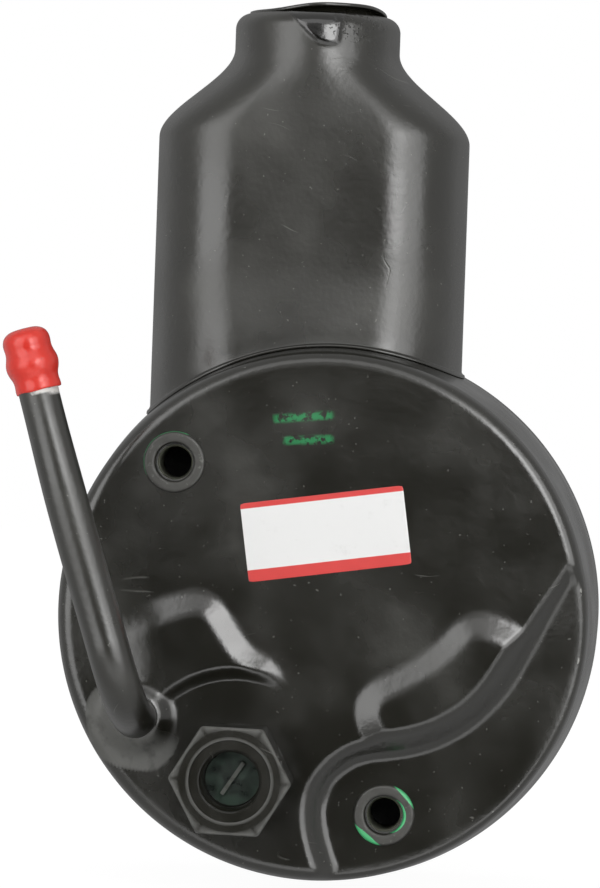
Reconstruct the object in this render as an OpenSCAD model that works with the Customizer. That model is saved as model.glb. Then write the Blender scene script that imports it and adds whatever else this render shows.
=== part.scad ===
// Vane-type power steering pump inside a pressed sheet reservoir with a tall filler neck.
// Sizes are in millimetres. The shaft turns about the Y axis and points to +Y.
// The reservoir's rear face looks to -Y and the filler neck stands up along +Z.
// The origin is on the shaft axis, in the plane of the four front mounting bosses.
// Depths named *_w are measured from that plane towards the rear.

/* [Reservoir can] */
// outer diameter at the rear rim
can_rim_d = 127; // [122:0.5:130]
// outer diameter at the mouth
can_body_d = 132.2; // [131:0.1:136]
// length over which the wall widens in front of the rim
can_taper_l = 36; // [20:1:50]
// depth from the mounting plane to the mouth of the can
can_mouth_w = 16; // [14:0.5:18]
// depth of the can from its mouth to its rear face
can_depth = 88; // [86:0.5:96]
// thickness of the pressed sheet
sheet_t = 1.6; // [1.2:0.1:2]
// outside radius of the rear rim
rim_r = 3.5; // [3:0.25:3.8]
// widening of the lip at the mouth
lip_flare = 0.3; // [0.2:0.1:1.5]

/* [Rear face pressings] */
// rise of the two lobes above the rear face
lobe_rise = 1.7; // [1:0.1:2.2]
// width of the slope round a lobe
lobe_slope = 5.6; // [4:0.2:7]
// depth of the step at the lower stud
step_drop = 4.4; // [4:0.1:5]
// width of the slope of that step
step_slope = 6.2; // [2:0.2:7]
// radius of the drawn boss at the foot of the return tube
foot_r = 10.4; // [9.6:0.2:12]
// height of that boss
foot_h = 4.4; // [3:0.2:6]
// radius of the flat seat round the outlet fitting
seat_r = 24; // [22:0.5:26]
// radius of the raised pad under the outlet fitting
pad_r = 12.2; // [11.8:0.1:12.5]
// height of that pad above the seat
pad_h = 0.3; // [0.2:0.1:0.8]

/* [Filler neck] */
// sideways place of the neck's axis
neck_x = -7.8; // [-9:0.1:0]
// depth of the neck's axis from the mounting plane
neck_w = 63.5; // [60:0.5:66]
// width of the neck body
neck_wide = 76.6; // [70:0.2:80]
// depth of the neck body, front to rear
neck_deep = 41.6; // [40:0.2:56]
// widening of the neck at its foot
neck_flare = 1.6; // [0.6:0.2:5]
// outer diameter of the round filler
filler_d = 40.6; // [38:0.2:44]
// height of the neck's top edge
neck_top_z = 145.6; // [142:0.2:150]
// length of the round filler above the shoulder
filler_l = 8.1; // [6:0.1:14]
// length of the shoulder between the body and the round filler
shoulder_l = 22; // [16:0.5:28]
// radius of the top edge
neck_edge_r = 3; // [2:0.25:3.5]
// width of the brazed flange round the foot of the neck
flange_wide = 0.8; // [0.6:0.1:6]
// thickness of that flange
flange_t = 0.8; // [0.6:0.1:1.6]

/* [Filler collar] */
// bore diameter of the collar
collar_bore_d = 28.4; // [26:0.2:29]
// outer diameter of the collar's rim
collar_rim_d = 34; // [33.4:0.2:35]
// wall of the collar's sleeve
collar_wall = 0.9; // [0.7:0.1:1.4]
// depth of the sleeve below the rim
collar_sleeve = 8; // [6:0.5:10]
// height of the rim above the neck
collar_h = 3.2; // [2.6:0.1:5]
// width of the two entry notches
notch_wide = 5; // [4:0.2:7]

/* [Return tube] */
// outer diameter of the tube
tube_d = 9.525; // [8:0.025:10]
// wall of the tube
tube_wall = 0.9; // [0.7:0.1:1.2]
// sideways place of the foot
foot_x = -43.2; // [-44:0.2:-42]
// height of the foot
foot_z = -25.6; // [-27:0.2:-24]
// length of the tube that reaches into the can
tube_inside = 4; // [3:0.5:6]
// straight length outside the boss before the bend
tube_rise = 1.4; // [0.5:0.1:4]
// centre-line radius of the bend
bend_r = 19; // [12:0.5:22]
// lean of the run from upright
lean = 17; // [10:0.5:18]
// length of the straight run
run_l = 74.5; // [70:0.5:90]
// height of the bead near the tip
bead_h = 0.8; // [0.4:0.1:1]

/* [Tube cap] */
// length of the push-on cap
cap_l = 14.8; // [12:0.2:18]
// wall of the cap at its skirt
cap_wall = 0.75; // [0.6:0.05:1]

/* [Outlet fitting] */
// sideways place of the fitting and the valve bore
port_x = -19.6; // [-20:0.1:-19]
// height of the fitting and the valve bore
port_z = -39.2; // [-39.6:0.1:-38.8]
// hexagon across its flats
hex_af = 25.4; // [24:0.1:26]
// length of the hexagon
hex_h = 16; // [12:0.5:18]
// turn of the hexagon
hex_turn = 1; // [-10:1:10]
// diameter of the threaded port
port_d = 14.5; // [13:0.1:15]
// depth of the threaded port
port_deep = 10; // [8:0.5:11]
// diameter of the spot face round the port
spot_d = 19.4; // [18:0.1:21]
// depth of the spot face
spot_deep = 0.5; // [0.3:0.1:0.8]
// diameter of the shank
shank_d = 22; // [21:0.1:22.6]
// length of the shank
shank_l = 16.3; // [15:0.1:18]
// length of the plug in the outlet port
plug_l = 7; // [6:0.2:7.6]
// wall of the port's seat round the plug
plug_seat = 0.75; // [0.5:0.05:1]
// width of the plug's grip rib
rib_wide = 0.9; // [0.6:0.1:1.4]
// height of the plug's grip rib
rib_h = 1.4; // [0.8:0.1:1.6]

/* [Studs at the rear] */
// sideways place of the upper stud
stud_a_x = -36.5; // [-37:0.1:-35]
// height of the upper stud
stud_a_z = 35.6; // [34:0.1:36]
// sideways place of the lower stud
stud_b_x = 16.4; // [15:0.1:18]
// height of the lower stud
stud_b_z = -47.2; // [-48:0.1:-46]
// drill diameter of the stud threads
stud_tap_d = 8.5; // [7:0.1:8.8]
// depth of the stud threads
stud_deep = 22; // [16:0.5:26]
// bore of the stud seals
seal_bore_d = 9.2; // [9:0.1:10]
// outer diameter of the part of the seal that shows
seal_d = 14.8; // [14:0.1:15.4]
// height of the seal above the sheet
seal_proud = 0.9; // [0.5:0.1:1.4]

/* [Housing] */
// thickness of the front flange
flange_w = 9; // [7:0.5:10]
// outer diameter of the hub
hub_d = 48; // [44:0.5:52]
// reach of the hub in front of the mounting plane
hub_reach = 10; // [8:0.5:12]
// sideways spacing of the mounting holes
mount_x = 70; // [66:0.5:76]
// upright spacing of the mounting holes
mount_z = 64; // [60:0.5:70]
// drill diameter of the mounting holes
mount_tap_d = 8.5; // [7:0.1:10]
// depth of the mounting holes
mount_deep = 18; // [14:0.5:19]
// diameter of the mounting bosses
mount_boss_d = 19; // [17:0.5:22]
// thickness of the web behind the flange
web_t = 8; // [6:0.5:10]
// length of the land that carries the can
land_l = 18; // [15:0.5:22]
// wall of the barrel round the pumping parts
barrel_wall = 6; // [4:0.5:6.5]
// section diameter of the can's sealing ring
can_ring_d = 3; // [2.6:0.1:3.4]

/* [Shaft] */
// diameter of the drive end
shaft_d = 19.05; // [18:0.05:20]
// reach of the shaft in front of the mounting plane
shaft_reach = 48; // [40:0.5:60]
// drill diameter of the thread in the shaft's end
shaft_tap_d = 8; // [6:0.1:9]
// depth of that thread
shaft_tap_l = 26; // [18:0.5:32]
// diameter at the root of the splines
spline_d = 15; // [14:0.1:16]
// height of the splines
spline_h = 1; // [0.6:0.1:1.2]
// wall of the bushing
bushing_wall = 1.55; // [1.2:0.05:2]
// outer diameter of the shaft seal
shaft_seal_d = 31.8; // [30:0.1:34]
// length of the shaft seal
shaft_seal_l = 7.5; // [6:0.25:8.5]
// running clearance of the shaft, on the radius
run_gap = 0.05; // [0.03:0.01:0.08]

/* [Pumping parts] */
// bore for the pumping parts
cart_d = 61; // [60.4:0.1:61.6]
// depth of the floor of that bore
cart_w = 24; // [23:0.5:25]
// thickness of the thrust plate
thrust_t = 7; // [6:0.5:8]
// width of the cam ring
ring_t = 19; // [16:0.5:20]
// thickness of the pressure plate
plate_t = 9; // [8.6:0.2:10]
// free space for the plate spring
spring_space = 7; // [6:0.2:8]
// thickness of the end plate
end_t = 7.15; // [6:0.05:8]
// diameter of the rotor
rotor_d = 40; // [39:0.1:40.2]
// small radius of the cam
cam_small_r = 20.15; // [20.15:0.05:20.6]
// lift of the cam
cam_lift = 2.4; // [1.8:0.1:2.6]
// turn of the cam's small axis
cam_turn = 30; // [0:5:90]
// thickness of a vane
vane_t = 1.6; // [1.2:0.1:2]
// height of a vane
vane_h = 7.6; // [6:0.1:7.8]
// clearance of vanes and rotor faces
vane_gap = 0.05; // [0.03:0.01:0.08]
// diameter of the dowel pins
dowel_d = 5; // [4:0.1:5.4]
// radius on which the dowel pins stand
dowel_at = 25.7; // [25.4:0.1:26]
// wire of the plate spring
plate_wire_d = 2.2; // [1.6:0.1:2.6]
// mean diameter of the plate spring
plate_coil_d = 26; // [23:0.5:30]
// thickness of the retaining ring
clip_t = 1.8; // [1.4:0.1:2]

/* [Flow valve] */
// diameter of the spool
spool_d = 17; // [16:0.1:17.2]
// length of the spool
spool_l = 35.6; // [33:0.2:37]
// length of the flow spring at rest
flow_spring_l = 22; // [18:0.2:23]
// wire of the flow spring
flow_wire_d = 1.8; // [1.4:0.1:2]
// turns of the flow spring
flow_turns = 6; // [4:1:7]
// bore inside the spool
relief_bore_d = 9; // [8.4:0.1:9.6]
// depth of that bore
relief_bore_l = 25; // [24:0.2:26]
// diameter of the relief ball
ball_d = 4.6; // [4:0.1:5]
// wire of the relief spring
relief_wire_d = 0.9; // [0.7:0.1:1]
// turns of the relief spring
relief_turns = 7; // [5:1:8]

/* [Hidden] */
$fn = 72;
tiny = 0.01;
fit = 0.1;
vanes = 10;
vane_step = 360 / vanes;
rear_w = can_mouth_w + can_depth;
rim_rad = can_rim_d / 2;
body_rad = can_body_d / 2;
inner_rad = body_rad - sheet_t;
lobe_w = rear_w + lobe_rise;
step_w = rear_w - step_drop;
pad_w = rear_w + pad_h;
filler_r = filler_d / 2;
filler_z = neck_top_z - filler_l;
shoulder_z = filler_z - shoulder_l;
collar_r = collar_bore_d / 2 + collar_wall;
tube_r = tube_d / 2;
tube_in_r = tube_r - tube_wall;
bend_w = lobe_w + foot_h + tube_rise;
cap_top_r = tube_r + 1;
cap_bulge_r = tube_r + bead_h + cap_wall;
cap_skirt_r = tube_r + fit / 2 + cap_wall;
port_r = port_d / 2;
plug_r = port_r - plug_seat;
shank_r = shank_d / 2;
hex_r = hex_af / sqrt(3);
face_w = pad_w + hex_h;
shank_end_w = pad_w - shank_l;
seat_w = face_w - spot_deep - port_deep;
plug_floor_w = seat_w - plug_l - 1.7;
seal_r = seal_d / 2;
seal_foot_r = seal_r + 1.2;
seal_foot_t = 1.65;
seal_a_w = rear_w - sheet_t;
seal_b_w = step_w - sheet_t;
stud_boss_r = seal_foot_r + 0.4;
land_r = inner_rad - 0.3;
land_w = can_mouth_w + land_l;
front_w = can_mouth_w - flange_w;
web_w = can_mouth_w + web_t;
flange_r = body_rad;
groove_w = can_mouth_w + 6;
groove_floor_r = inner_rad - can_ring_d - 0.1;
cart_r = cart_d / 2;
plate_r = cart_r - fit;
counter_r = cart_r + 1.3;
barrel_r = cart_r + barrel_wall;
ring_w = cart_w + thrust_t;
plate_w = ring_w + ring_t;
spring_w = plate_w + plate_t;
end_w = spring_w + spring_space;
clip_w = end_w + end_t + 0.1;
barrel_end_w = clip_w + clip_t + 5;
rotor_r = rotor_d / 2;
tip_r = rotor_r - vane_gap;
slot_root_r = tip_r - vane_h - 1.15;
spline_r = spline_d / 2;
shaft_r = shaft_d / 2;
bushing_r = shaft_r + run_gap + bushing_wall;
shaft_end_w = plate_w + 3.4;
clip_groove_w = plate_w + 0.7;
spool_r = spool_d / 2;
valve_bore_r = spool_r + run_gap;
spool_stop = 0.3;
spool_w = shank_end_w - spool_stop - spool_l;
valve_floor_w = spool_w - flow_spring_l;
flow_coil_r = spool_r - flow_wire_d / 2 - 0.4;
relief_r = relief_bore_d / 2;
ball_r = ball_d / 2;
relief_hole_r = ball_r / 2;
seat_l = 6;
head_h = 3.5;
ball_w = spool_w + seat_l + sqrt(ball_r * ball_r - relief_hole_r * relief_hole_r) + 0.03;
guide_w = ball_w + ball_r;
guide_t = 1.7;
guide_end_w = guide_w + guide_t;
relief_floor_w = spool_w + relief_bore_l;
valve_boss_r = shank_r + 4.4;
valve_top_r = shank_r + 1.2;
valve_top_w = pad_w - sheet_t - 0.7;
magnet_r = 6.5;
magnet_t = 3.5;
magnet_at = (barrel_r + land_r - 6.3) / 2;

paint = [0.16, 0.17, 0.16];
iron = [0.3, 0.31, 0.31];
steel = [0.68, 0.69, 0.7];
bronze = [0.7, 0.56, 0.34];
rubber = [0.12, 0.12, 0.12];
green = [0.25, 0.66, 0.4];
red = [0.86, 0.22, 0.17];

// lobe round the outlet fitting and the tube's foot, inner edge of its slope
left_lobe = [
    [-48.4, -21], [-43.6, -29.8], [-36, -38.4], [-28, -44.8], [-19, -49.2], [-12, -51.4],
    [-8.4, -48], [-7.6, -41], [-8, -31], [-9.2, -22], [-11, -15.6], [-17.6, -13.4], [-22, -10],
    [-25.8, -4.2], [-28.6, -0.2], [-33, -1], [-39, -3.2], [-45.5, -7], [-51, -12]
];
// lobe at the right of the rear face, inner edge of its slope
right_lobe = [
    [15, -35], [24, -35], [36, -30], [45, -22], [49.5, -13], [47, -7], [42.7, -4.8], [39.4, -3.6],
    [36.2, -3.8], [33.7, -7], [30.1, -10.7], [24.7, -14.6], [19.6, -17.5], [14.2, -20],
    [12.2, -24], [12, -30]
];
// foot of the step that sinks the lower right of the rear face
step_edge = [
    [67.5, 27.5], [63.2, 19], [58.6, 10], [54.6, 2.4], [51.4, -4.4], [48.1, -11],
    [44.7, -17], [40.3, -22.3], [35.9, -26.1], [30, -29.6], [24.2, -31.8], [17.8, -33.1],
    [12.5, -33.7], [8.3, -35.3], [4.1, -38.9], [2, -43], [1.4, -47.5], [2.3, -52.6],
    [4.1, -58], [6.6, -64], [12, -76], [60, -76], [86, -40], [86, 20]
];

function unit(v) = v / norm(v);
function blend(a, b, t) = let (u = min(1, max(0, (t - a) / (b - a)))) u * u * (3 - 2 * u);
function away(p, i) =
    let (n = len(p), t = unit(p[(i + 1) % n] - p[(i + n - 1) % n])) [t[1], -t[0]];
function grow(p, s) = [for (i = [0:len(p) - 1]) p[i] + s * away(p, i)];
function chaikin(p) = [
    for (i = [0:len(p) - 1])
        let (a = p[i], b = p[(i + 1) % len(p)])
            for (q = [0.75 * a + 0.25 * b, 0.25 * a + 0.75 * b]) q
];
function ring_faces(rings, n, k) = [
    for (j = [0:rings - 2], i = [0:n - 1], h = [0, 1])
        let (a = j * n + i, b = j * n + (i + 1) % n, c = a + n, d = b + n)
            k > 0 ? (h == 0 ? [a, d, b] : [a, c, d]) : (h == 0 ? [a, b, d] : [a, d, c])
];
function caps(rings, n, k) =
    k > 0 ? [[for (i = [0:n - 1]) i], [for (i = [n - 1:-1:0]) (rings - 1) * n + i]]
          : [[for (i = [n - 1:-1:0]) i], [for (i = [0:n - 1]) (rings - 1) * n + i]];

// solid through a list of closed rings that all have the same number of points
module loft(rings, k = 1) {
    n = len(rings[0]);
    polyhedron(
        points = [for (r = rings) for (p = r) p],
        faces = concat(ring_faces(len(rings), n, k), caps(len(rings), n, k)),
        convexity = 6
    );
}

// turns a drawing of the rear view, with depth along Z, into the part's frame
module rear_view() rotate([90, 0, 0]) children();

module ring(r1, r2, w1, w2) {
    translate([0, 0, w1]) difference() {
        cylinder(r = r2, h = w2 - w1);
        translate([0, 0, -1]) cylinder(r = r1, h = w2 - w1 + 2);
    }
}

module rod(r, w1, w2) translate([0, 0, w1]) cylinder(r = r, h = w2 - w1);

module o_ring(at, r, w) translate([0, 0, w]) rotate_extrude() translate([at, 0]) circle(r = r, $fn = 24);

// coil spring with closed ends between two depths
module coil(mean_r, wire_r, w1, w2, turns, per_turn, sides) {
    rise = w2 - w1 - 2 * wire_r;
    n = turns * per_turn;
    loft([
        for (j = [0:n])
            let (t = j / n, a = 360 * turns * t, c = w1 + wire_r + rise * t)
                [for (i = [0:sides - 1])
                    let (b = 360 * i / sides, r = mean_r + wire_r * cos(b))
                        [r * cos(a), r * sin(a), c + wire_r * sin(b)]]
    ], -1);
}

// radius of the can's tapering wall at the level of the step's floor, moved inwards by g
function floor_r(g) =
    rim_rad - g + (body_rad - rim_rad) * (step_drop + g - rim_r) / can_taper_l;

// half section of the can's outside up to the step's floor, moved inwards by g
function can_section(g) = concat(
    [[0, can_mouth_w - (g > 0 ? 1 : 0)]],
    g > 0 ? [[body_rad + lip_flare - g, can_mouth_w - 1]] : [],
    [
        [body_rad + lip_flare - g, can_mouth_w],
        [body_rad - g, can_mouth_w + 3],
        [body_rad - g, rear_w - rim_r - can_taper_l],
        [floor_r(g), step_w - g],
        [0, step_w - g]
    ]
);

// half section of the rim and the rear face, from the step's floor outwards
function rim_section(g) = concat(
    [[0, step_w - g], [floor_r(g), step_w - g], [rim_rad - g, rear_w - rim_r]],
    [for (a = [15:15:90])
        [rim_rad - rim_r + (rim_r - g) * cos(a), rear_w - rim_r + (rim_r - g) * sin(a)]],
    [[0, rear_w - g]]
);

module can_round(g) rotate_extrude($fn = 96) polygon(can_section(g));

module rim_round(g) rotate_extrude($fn = 96) polygon(rim_section(g));

module lobe(edge, g) {
    top = chaikin(edge);
    w = rear_w - g;
    loft([
        [for (q = grow(top, lobe_slope * 1.3)) [q[0], q[1], w - lobe_rise * 0.37]],
        [for (q = grow(top, lobe_slope * 0.5)) [q[0], q[1], w + lobe_rise * 0.62]],
        [for (q = top) [q[0], q[1], w + lobe_rise]]
    ], 1);
}

module step_cut(g) {
    low = chaikin(step_edge);
    w = step_w - g;
    h = step_drop + lobe_rise + 0.4;
    loft([
        [for (q = grow(low, -step_slope / h)) [q[0], q[1], w - 1]],
        [for (q = grow(low, step_slope)) [q[0], q[1], w + h]],
        [for (q = grow(low, step_slope)) [q[0], q[1], w + h + 8]]
    ], 1);
}

module can_form(g) {
    can_round(g);
    difference() {
        union() {
            rim_round(g);
            difference() {
                lobe(left_lobe, g);
                translate([port_x, port_z, rear_w - g - 4]) cylinder(r = seat_r + g, h = 10);
            }
            lobe(right_lobe, g);
            translate([foot_x, foot_z, rear_w - g - 0.5])
                cylinder(r1 = foot_r + 2.1 - g / 2, r2 = tube_r + 1.6, h = foot_h + lobe_rise + 0.5);
            translate([port_x, port_z, rear_w - g - 1.4]) cylinder(r = pad_r - g * 0.9, h = pad_h + 1.4);
        }
        step_cut(g);
    }
}

function track(a, b, at) = [
    for (i = [0:at - 1])
        let (t = 360 * (i + 0.5) / at, r = b / cos(180 / at))
            [(a - b) * sign(cos(t)) + r * cos(t), r * sin(t)]
];

// part of the shoulder done at a height: 0 in the body, 1 in the round filler
function shoulder(z) = blend(shoulder_z, filler_z, z);
function foot_flare(z) = neck_flare * (1 - blend(rim_rad - 1, rim_rad + 20, z));
function neck_ring(z, g, edge, at) =
    let (s = shoulder(z),
         a = neck_wide / 2 + (filler_r - neck_wide / 2) * s - g - edge,
         b = neck_deep / 2 + (filler_r - neck_deep / 2) * s + foot_flare(z) - g - edge)
        [for (p = track(a, b, at)) [neck_x + p[0], p[1] - neck_w, z]];

neck_points = 40;
neck_levels = concat(
    [can_rim_d * 0.3, rim_rad - 1],
    [for (i = [1:5]) rim_rad - 1 + 21 * i / 5],
    [shoulder_z],
    [for (i = [1:10]) shoulder_z + (filler_z - shoulder_z) * i / 10]
);

module neck_solid(g) {
    loft(concat(
        [for (z = neck_levels) neck_ring(z, g, 0, neck_points)],
        [for (a = [0:30:90])
            neck_ring(neck_top_z - neck_edge_r + (neck_edge_r - (g > 0 ? g / 2 : 0)) * sin(a) - g / 2,
                g > 0 ? g / 2 : 0, neck_edge_r * (1 - cos(a)) + (g > 0 ? g / 2 : 0), neck_points)]
    ), 1);
}

// upright prism with the outline of the neck's foot, widened by s
module neck_prism(s, z1, z2) {
    translate([neck_x, -neck_w, z1]) linear_extrude(height = z2 - z1)
        polygon(track(neck_wide / 2 + s, neck_deep / 2 + neck_flare + s, neck_points));
}

module reservoir_can() color(paint) {
    difference() {
        rear_view() difference() {
            can_form(0);
            can_form(sheet_t);
            translate([stud_a_x, stud_a_z, 0]) rod(seal_r + fit, rear_w - 10, rear_w + 10);
            translate([stud_b_x, stud_b_z, 0]) rod(seal_r + fit, rear_w - 15, rear_w + 10);
            translate([port_x, port_z, 0]) rod(shank_r + 0.2, rear_w - 10, rear_w + 10);
            translate([foot_x, foot_z, 0]) rod(tube_r + fit, rear_w - 10, rear_w + 12);
        }
        neck_prism(-sheet_t - 3, 20, rim_rad + 10);
    }
}

// round of the can's wall that the neck sits on, grown by g
module neck_seat(g) rotate_extrude($fn = 96) polygon([
    [0, can_mouth_w + 3], [body_rad + g, can_mouth_w + 3],
    [body_rad + g, rear_w - rim_r - can_taper_l], [rim_rad + g, rear_w - rim_r], [0, rear_w - rim_r]
]);

module filler_neck() color(paint) {
    difference() {
        union() {
            neck_solid(0);
            intersection() {
                neck_prism(flange_wide, 20, rim_rad + 20);
                rear_view() neck_seat(flange_t);
            }
        }
        neck_solid(sheet_t);
        rear_view() neck_seat(0);
        translate([neck_x, -neck_w, neck_top_z - collar_sleeve - 1])
            cylinder(r = collar_r + fit, h = collar_sleeve + 6);
    }
}

module filler_collar() color(paint) {
    r = collar_bore_d / 2;
    rim = collar_rim_d / 2;
    translate([neck_x, -neck_w, neck_top_z]) difference() {
        rotate_extrude() polygon([
            [r, -collar_sleeve], [collar_r, -collar_sleeve], [collar_r, 0], [rim - 0.6, 0],
            [rim, 0.6], [rim, collar_h * 0.45], [rim - 0.5, collar_h * 0.6],
            [rim - 1, collar_h - 0.5], [rim - 1.6, collar_h], [r + 0.5, collar_h],
            [r, collar_h - 0.5]
        ]);
        translate([-notch_wide / 2, -rim - 1, collar_h * 0.6])
            cube([notch_wide, 2 * rim + 2, collar_h]);
    }
}

// hollow section of the tube, at a distance from the turning axis of a bend
module tube_section(at) translate([at, 0]) difference() {
    circle(r = tube_r, $fn = 48);
    circle(r = tube_in_r, $fn = 48);
}

// places its children where the bend ends, with Z along the straight run
module at_run() {
    translate([foot_x, foot_z, bend_w]) rotate([0, 0, lean]) translate([0, bend_r, bend_r])
        rotate([-90, 0, 0]) rotate([0, 0, -90]) children();
}

// places its children on the tip of the tube, with Z along the tube
module at_tip() at_run() translate([0, 0, run_l]) children();

module return_tube() color(paint) rear_view() {
    union() {
        translate([foot_x, foot_z, 0]) rotate([0, 0, lean]) rotate([0, 0, -90])
            ring(tube_in_r, tube_r, lobe_w - sheet_t - tube_inside, bend_w);
        translate([foot_x, foot_z, bend_w]) rotate([0, 0, lean]) translate([0, bend_r, 0])
            rotate([90, 0, -90]) rotate_extrude(angle = 90) tube_section(bend_r);
    }
    at_run() ring(tube_in_r, tube_r, 0, run_l - 8);
    at_tip() rotate_extrude() polygon([
        [tube_in_r, -8], [tube_r, -8], [tube_r + bead_h, -6.8], [tube_r + bead_h, -5.8],
        [tube_r, -4.6], [tube_r, -0.5], [tube_r - 0.4, 0], [tube_in_r, 0]
    ]);
}

module tube_cap() color(red) rear_view() at_tip() {
    rotate_extrude() polygon([
        [0, 0.2], [tube_r + fit / 2, 0.2], [tube_r + fit / 2, -4.5],
        [tube_r + bead_h + 0.06, -5.6], [tube_r + bead_h + 0.06, -7],
        [tube_r + fit / 2, -8.1], [tube_r + fit / 2, 1 - cap_l],
        [cap_skirt_r, 1 - cap_l], [cap_skirt_r + 0.1, -10],
        [cap_bulge_r - 0.2, -8.6], [cap_bulge_r, -7.4], [cap_bulge_r, -5.4],
        [cap_bulge_r - 0.3, -4.2], [cap_top_r + 0.05, -2.8], [cap_top_r, -0.8],
        [cap_top_r - 0.3, 0.4], [cap_top_r - 1, 1.2], [cap_top_r - 2.2, 1.75], [0, 2]
    ]);
}

module outlet_fitting() color(paint) rear_view() translate([port_x, port_z, 0]) {
    difference() {
        union() {
            intersection() {
                rotate([0, 0, hex_turn]) translate([0, 0, pad_w]) cylinder(r = hex_r, h = hex_h, $fn = 6);
                rotate_extrude() polygon([
                    [0, pad_w], [hex_r + 1, pad_w], [hex_r + 1, face_w - 1.7],
                    [hex_r - 0.7, face_w], [0, face_w]
                ]);
            }
            rod(shank_r, shank_end_w, pad_w + tiny);
        }
        rod(spot_d / 2, face_w - spot_deep, face_w + 1);
        rod(port_r, seat_w, face_w + 1);
        rod(plug_r, plug_floor_w, seat_w + tiny);
        rod(relief_r * 0.8, shank_end_w - 1, plug_floor_w + tiny);
        ring(shank_r - 1.95, shank_r + 1, valve_top_w - 3, valve_top_w - 0.6);
    }
}

module fitting_o_ring() color(rubber) rear_view() translate([port_x, port_z, 0])
    o_ring(shank_r - 0.95, 0.95, valve_top_w - 1.8);

module port_plug() color(green) rear_view() translate([port_x, port_z, 0]) {
    rod(plug_r - run_gap, plug_floor_w, plug_floor_w + plug_l);
    rotate([0, 0, 57]) translate([-plug_r * 0.7, -rib_wide / 2, plug_floor_w + plug_l - 0.5])
        cube([plug_r * 1.4, rib_wide, rib_h + 0.5]);
}

module stud_seal(w) {
    rotate_extrude() polygon([
        [seal_bore_d / 2, w - seal_foot_t], [seal_foot_r, w - seal_foot_t],
        [seal_foot_r, w - 0.05], [seal_r, w - 0.05], [seal_r, w + sheet_t + seal_proud - 0.5],
        [seal_r - 0.5, w + sheet_t + seal_proud], [seal_bore_d / 2 + 0.4, w + sheet_t + seal_proud],
        [seal_bore_d / 2, w + sheet_t + seal_proud - 0.4]
    ]);
}

module stud_seals() color(green) rear_view() {
    translate([stud_a_x, stud_a_z, 0]) stud_seal(seal_a_w);
    translate([stud_b_x, stud_b_z, 0]) stud_seal(seal_b_w);
}

module mount_places() {
    for (sx = [-1, 1], sz = [-1, 1])
        translate([sx * mount_x / 2, sz * mount_z / 2, 0]) children();
}

// bosses of the two studs and of the valve bore, with the webs that tie them to the barrel
module rear_bosses() {
    translate([stud_a_x, stud_a_z, 0]) rod(stud_boss_r, can_mouth_w, seal_a_w - seal_foot_t - 0.05);
    translate([stud_b_x, stud_b_z, 0]) rod(stud_boss_r, can_mouth_w, seal_b_w - seal_foot_t - 0.05);
    for (p = [[stud_a_x, stud_a_z, seal_a_w], [stud_b_x, stud_b_z, seal_b_w]])
        rotate([0, 0, atan2(p[1], p[0])]) translate([cart_r + 2, -5, can_mouth_w])
            cube([norm([p[0], p[1]]) - cart_r - 2, 10, barrel_end_w - can_mouth_w]);
    translate([port_x, port_z, 0]) {
        rod(valve_boss_r, can_mouth_w, rear_w - sheet_t - 2.4);
        rod(valve_top_r, can_mouth_w, valve_top_w);
    }
}

module housing_body() {
    difference() {
        union() {
            rotate_extrude() polygon([
                [0, front_w], [flange_r - 1, front_w], [flange_r, front_w + 1],
                [flange_r, can_mouth_w], [land_r, can_mouth_w], [land_r, land_w - 1],
                [land_r - 1, land_w], [0, land_w]
            ]);
        }
        ring(hub_d / 2 - 1, flange_r - 7, front_w - 1, can_mouth_w);
        ring(barrel_r - 1, land_r - 6.3, web_w, land_w + 1);
    }
    rod(hub_d / 2, -hub_reach, web_w);
    mount_places() rod(mount_boss_d / 2, 0, web_w);
    for (sx = [-1, 1], sz = [-1, 1])
        rotate([0, 0, atan2(sz * mount_z, sx * mount_x)]) translate([hub_d / 2 - 2, -4, front_w - 2])
            cube([flange_r - hub_d / 2 - 4, 8, web_w - front_w]);
    rod(barrel_r, can_mouth_w, barrel_end_w);
    intersection() {
        rear_bosses();
        rod(land_r, can_mouth_w - 1, rear_w + 5);
    }
}

module pump_housing() color(iron) rear_view() {
    difference() {
        housing_body();
        ring(groove_floor_r, land_r + 1, groove_w, groove_w + can_ring_d + 0.6);
        rod(shaft_seal_d / 2, -hub_reach - 1, shaft_seal_l + 1 - hub_reach);
        rod(bushing_r, -hub_reach, cart_w + 1);
        rod(cart_r, cart_w, barrel_end_w + 1);
        rod(counter_r, end_w - 4, barrel_end_w + 1);
        ring(cart_r, counter_r + 1.2, clip_w - 0.1, clip_w + clip_t + 0.1);
        mount_places() rod(mount_tap_d / 2, -1, mount_deep);
        translate([stud_a_x, stud_a_z, 0])
            rod(stud_tap_d / 2, seal_a_w - seal_foot_t - stud_deep, rear_w);
        translate([stud_b_x, stud_b_z, 0])
            rod(stud_tap_d / 2, seal_b_w - seal_foot_t - stud_deep, rear_w);
        translate([port_x, port_z, 0]) {
            rod(valve_bore_r, valve_floor_w, rear_w + 5);
            rod(shank_r + run_gap, shank_end_w, rear_w + 5);
        }
        rotate([0, 0, atan2(port_z, port_x)]) translate([cart_r - 4, 0, end_w - 2.4]) rotate([0, 90, 0])
            cylinder(r = 2.2, h = norm([port_x, port_z]) - cart_r + 4);
        rotate([0, 0, 60]) translate([cart_r - 4, 0, ring_w + ring_t / 2]) rotate([0, 90, 0])
            cylinder(r = 6, h = barrel_wall + 8);
    }
}

module reservoir_o_ring() color(rubber) rear_view()
    o_ring(inner_rad - can_ring_d / 2 - 0.03, can_ring_d / 2, groove_w + can_ring_d / 2 + 0.3);

module magnet() color(steel) rear_view()
    rotate([0, 0, 18]) translate([magnet_at, 0, 0]) rod(magnet_r, web_w, web_w + magnet_t);

module shaft_bushing() color(bronze) rear_view()
    ring(shaft_r + run_gap, bushing_r, 0.4, cart_w - 0.4);

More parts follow.
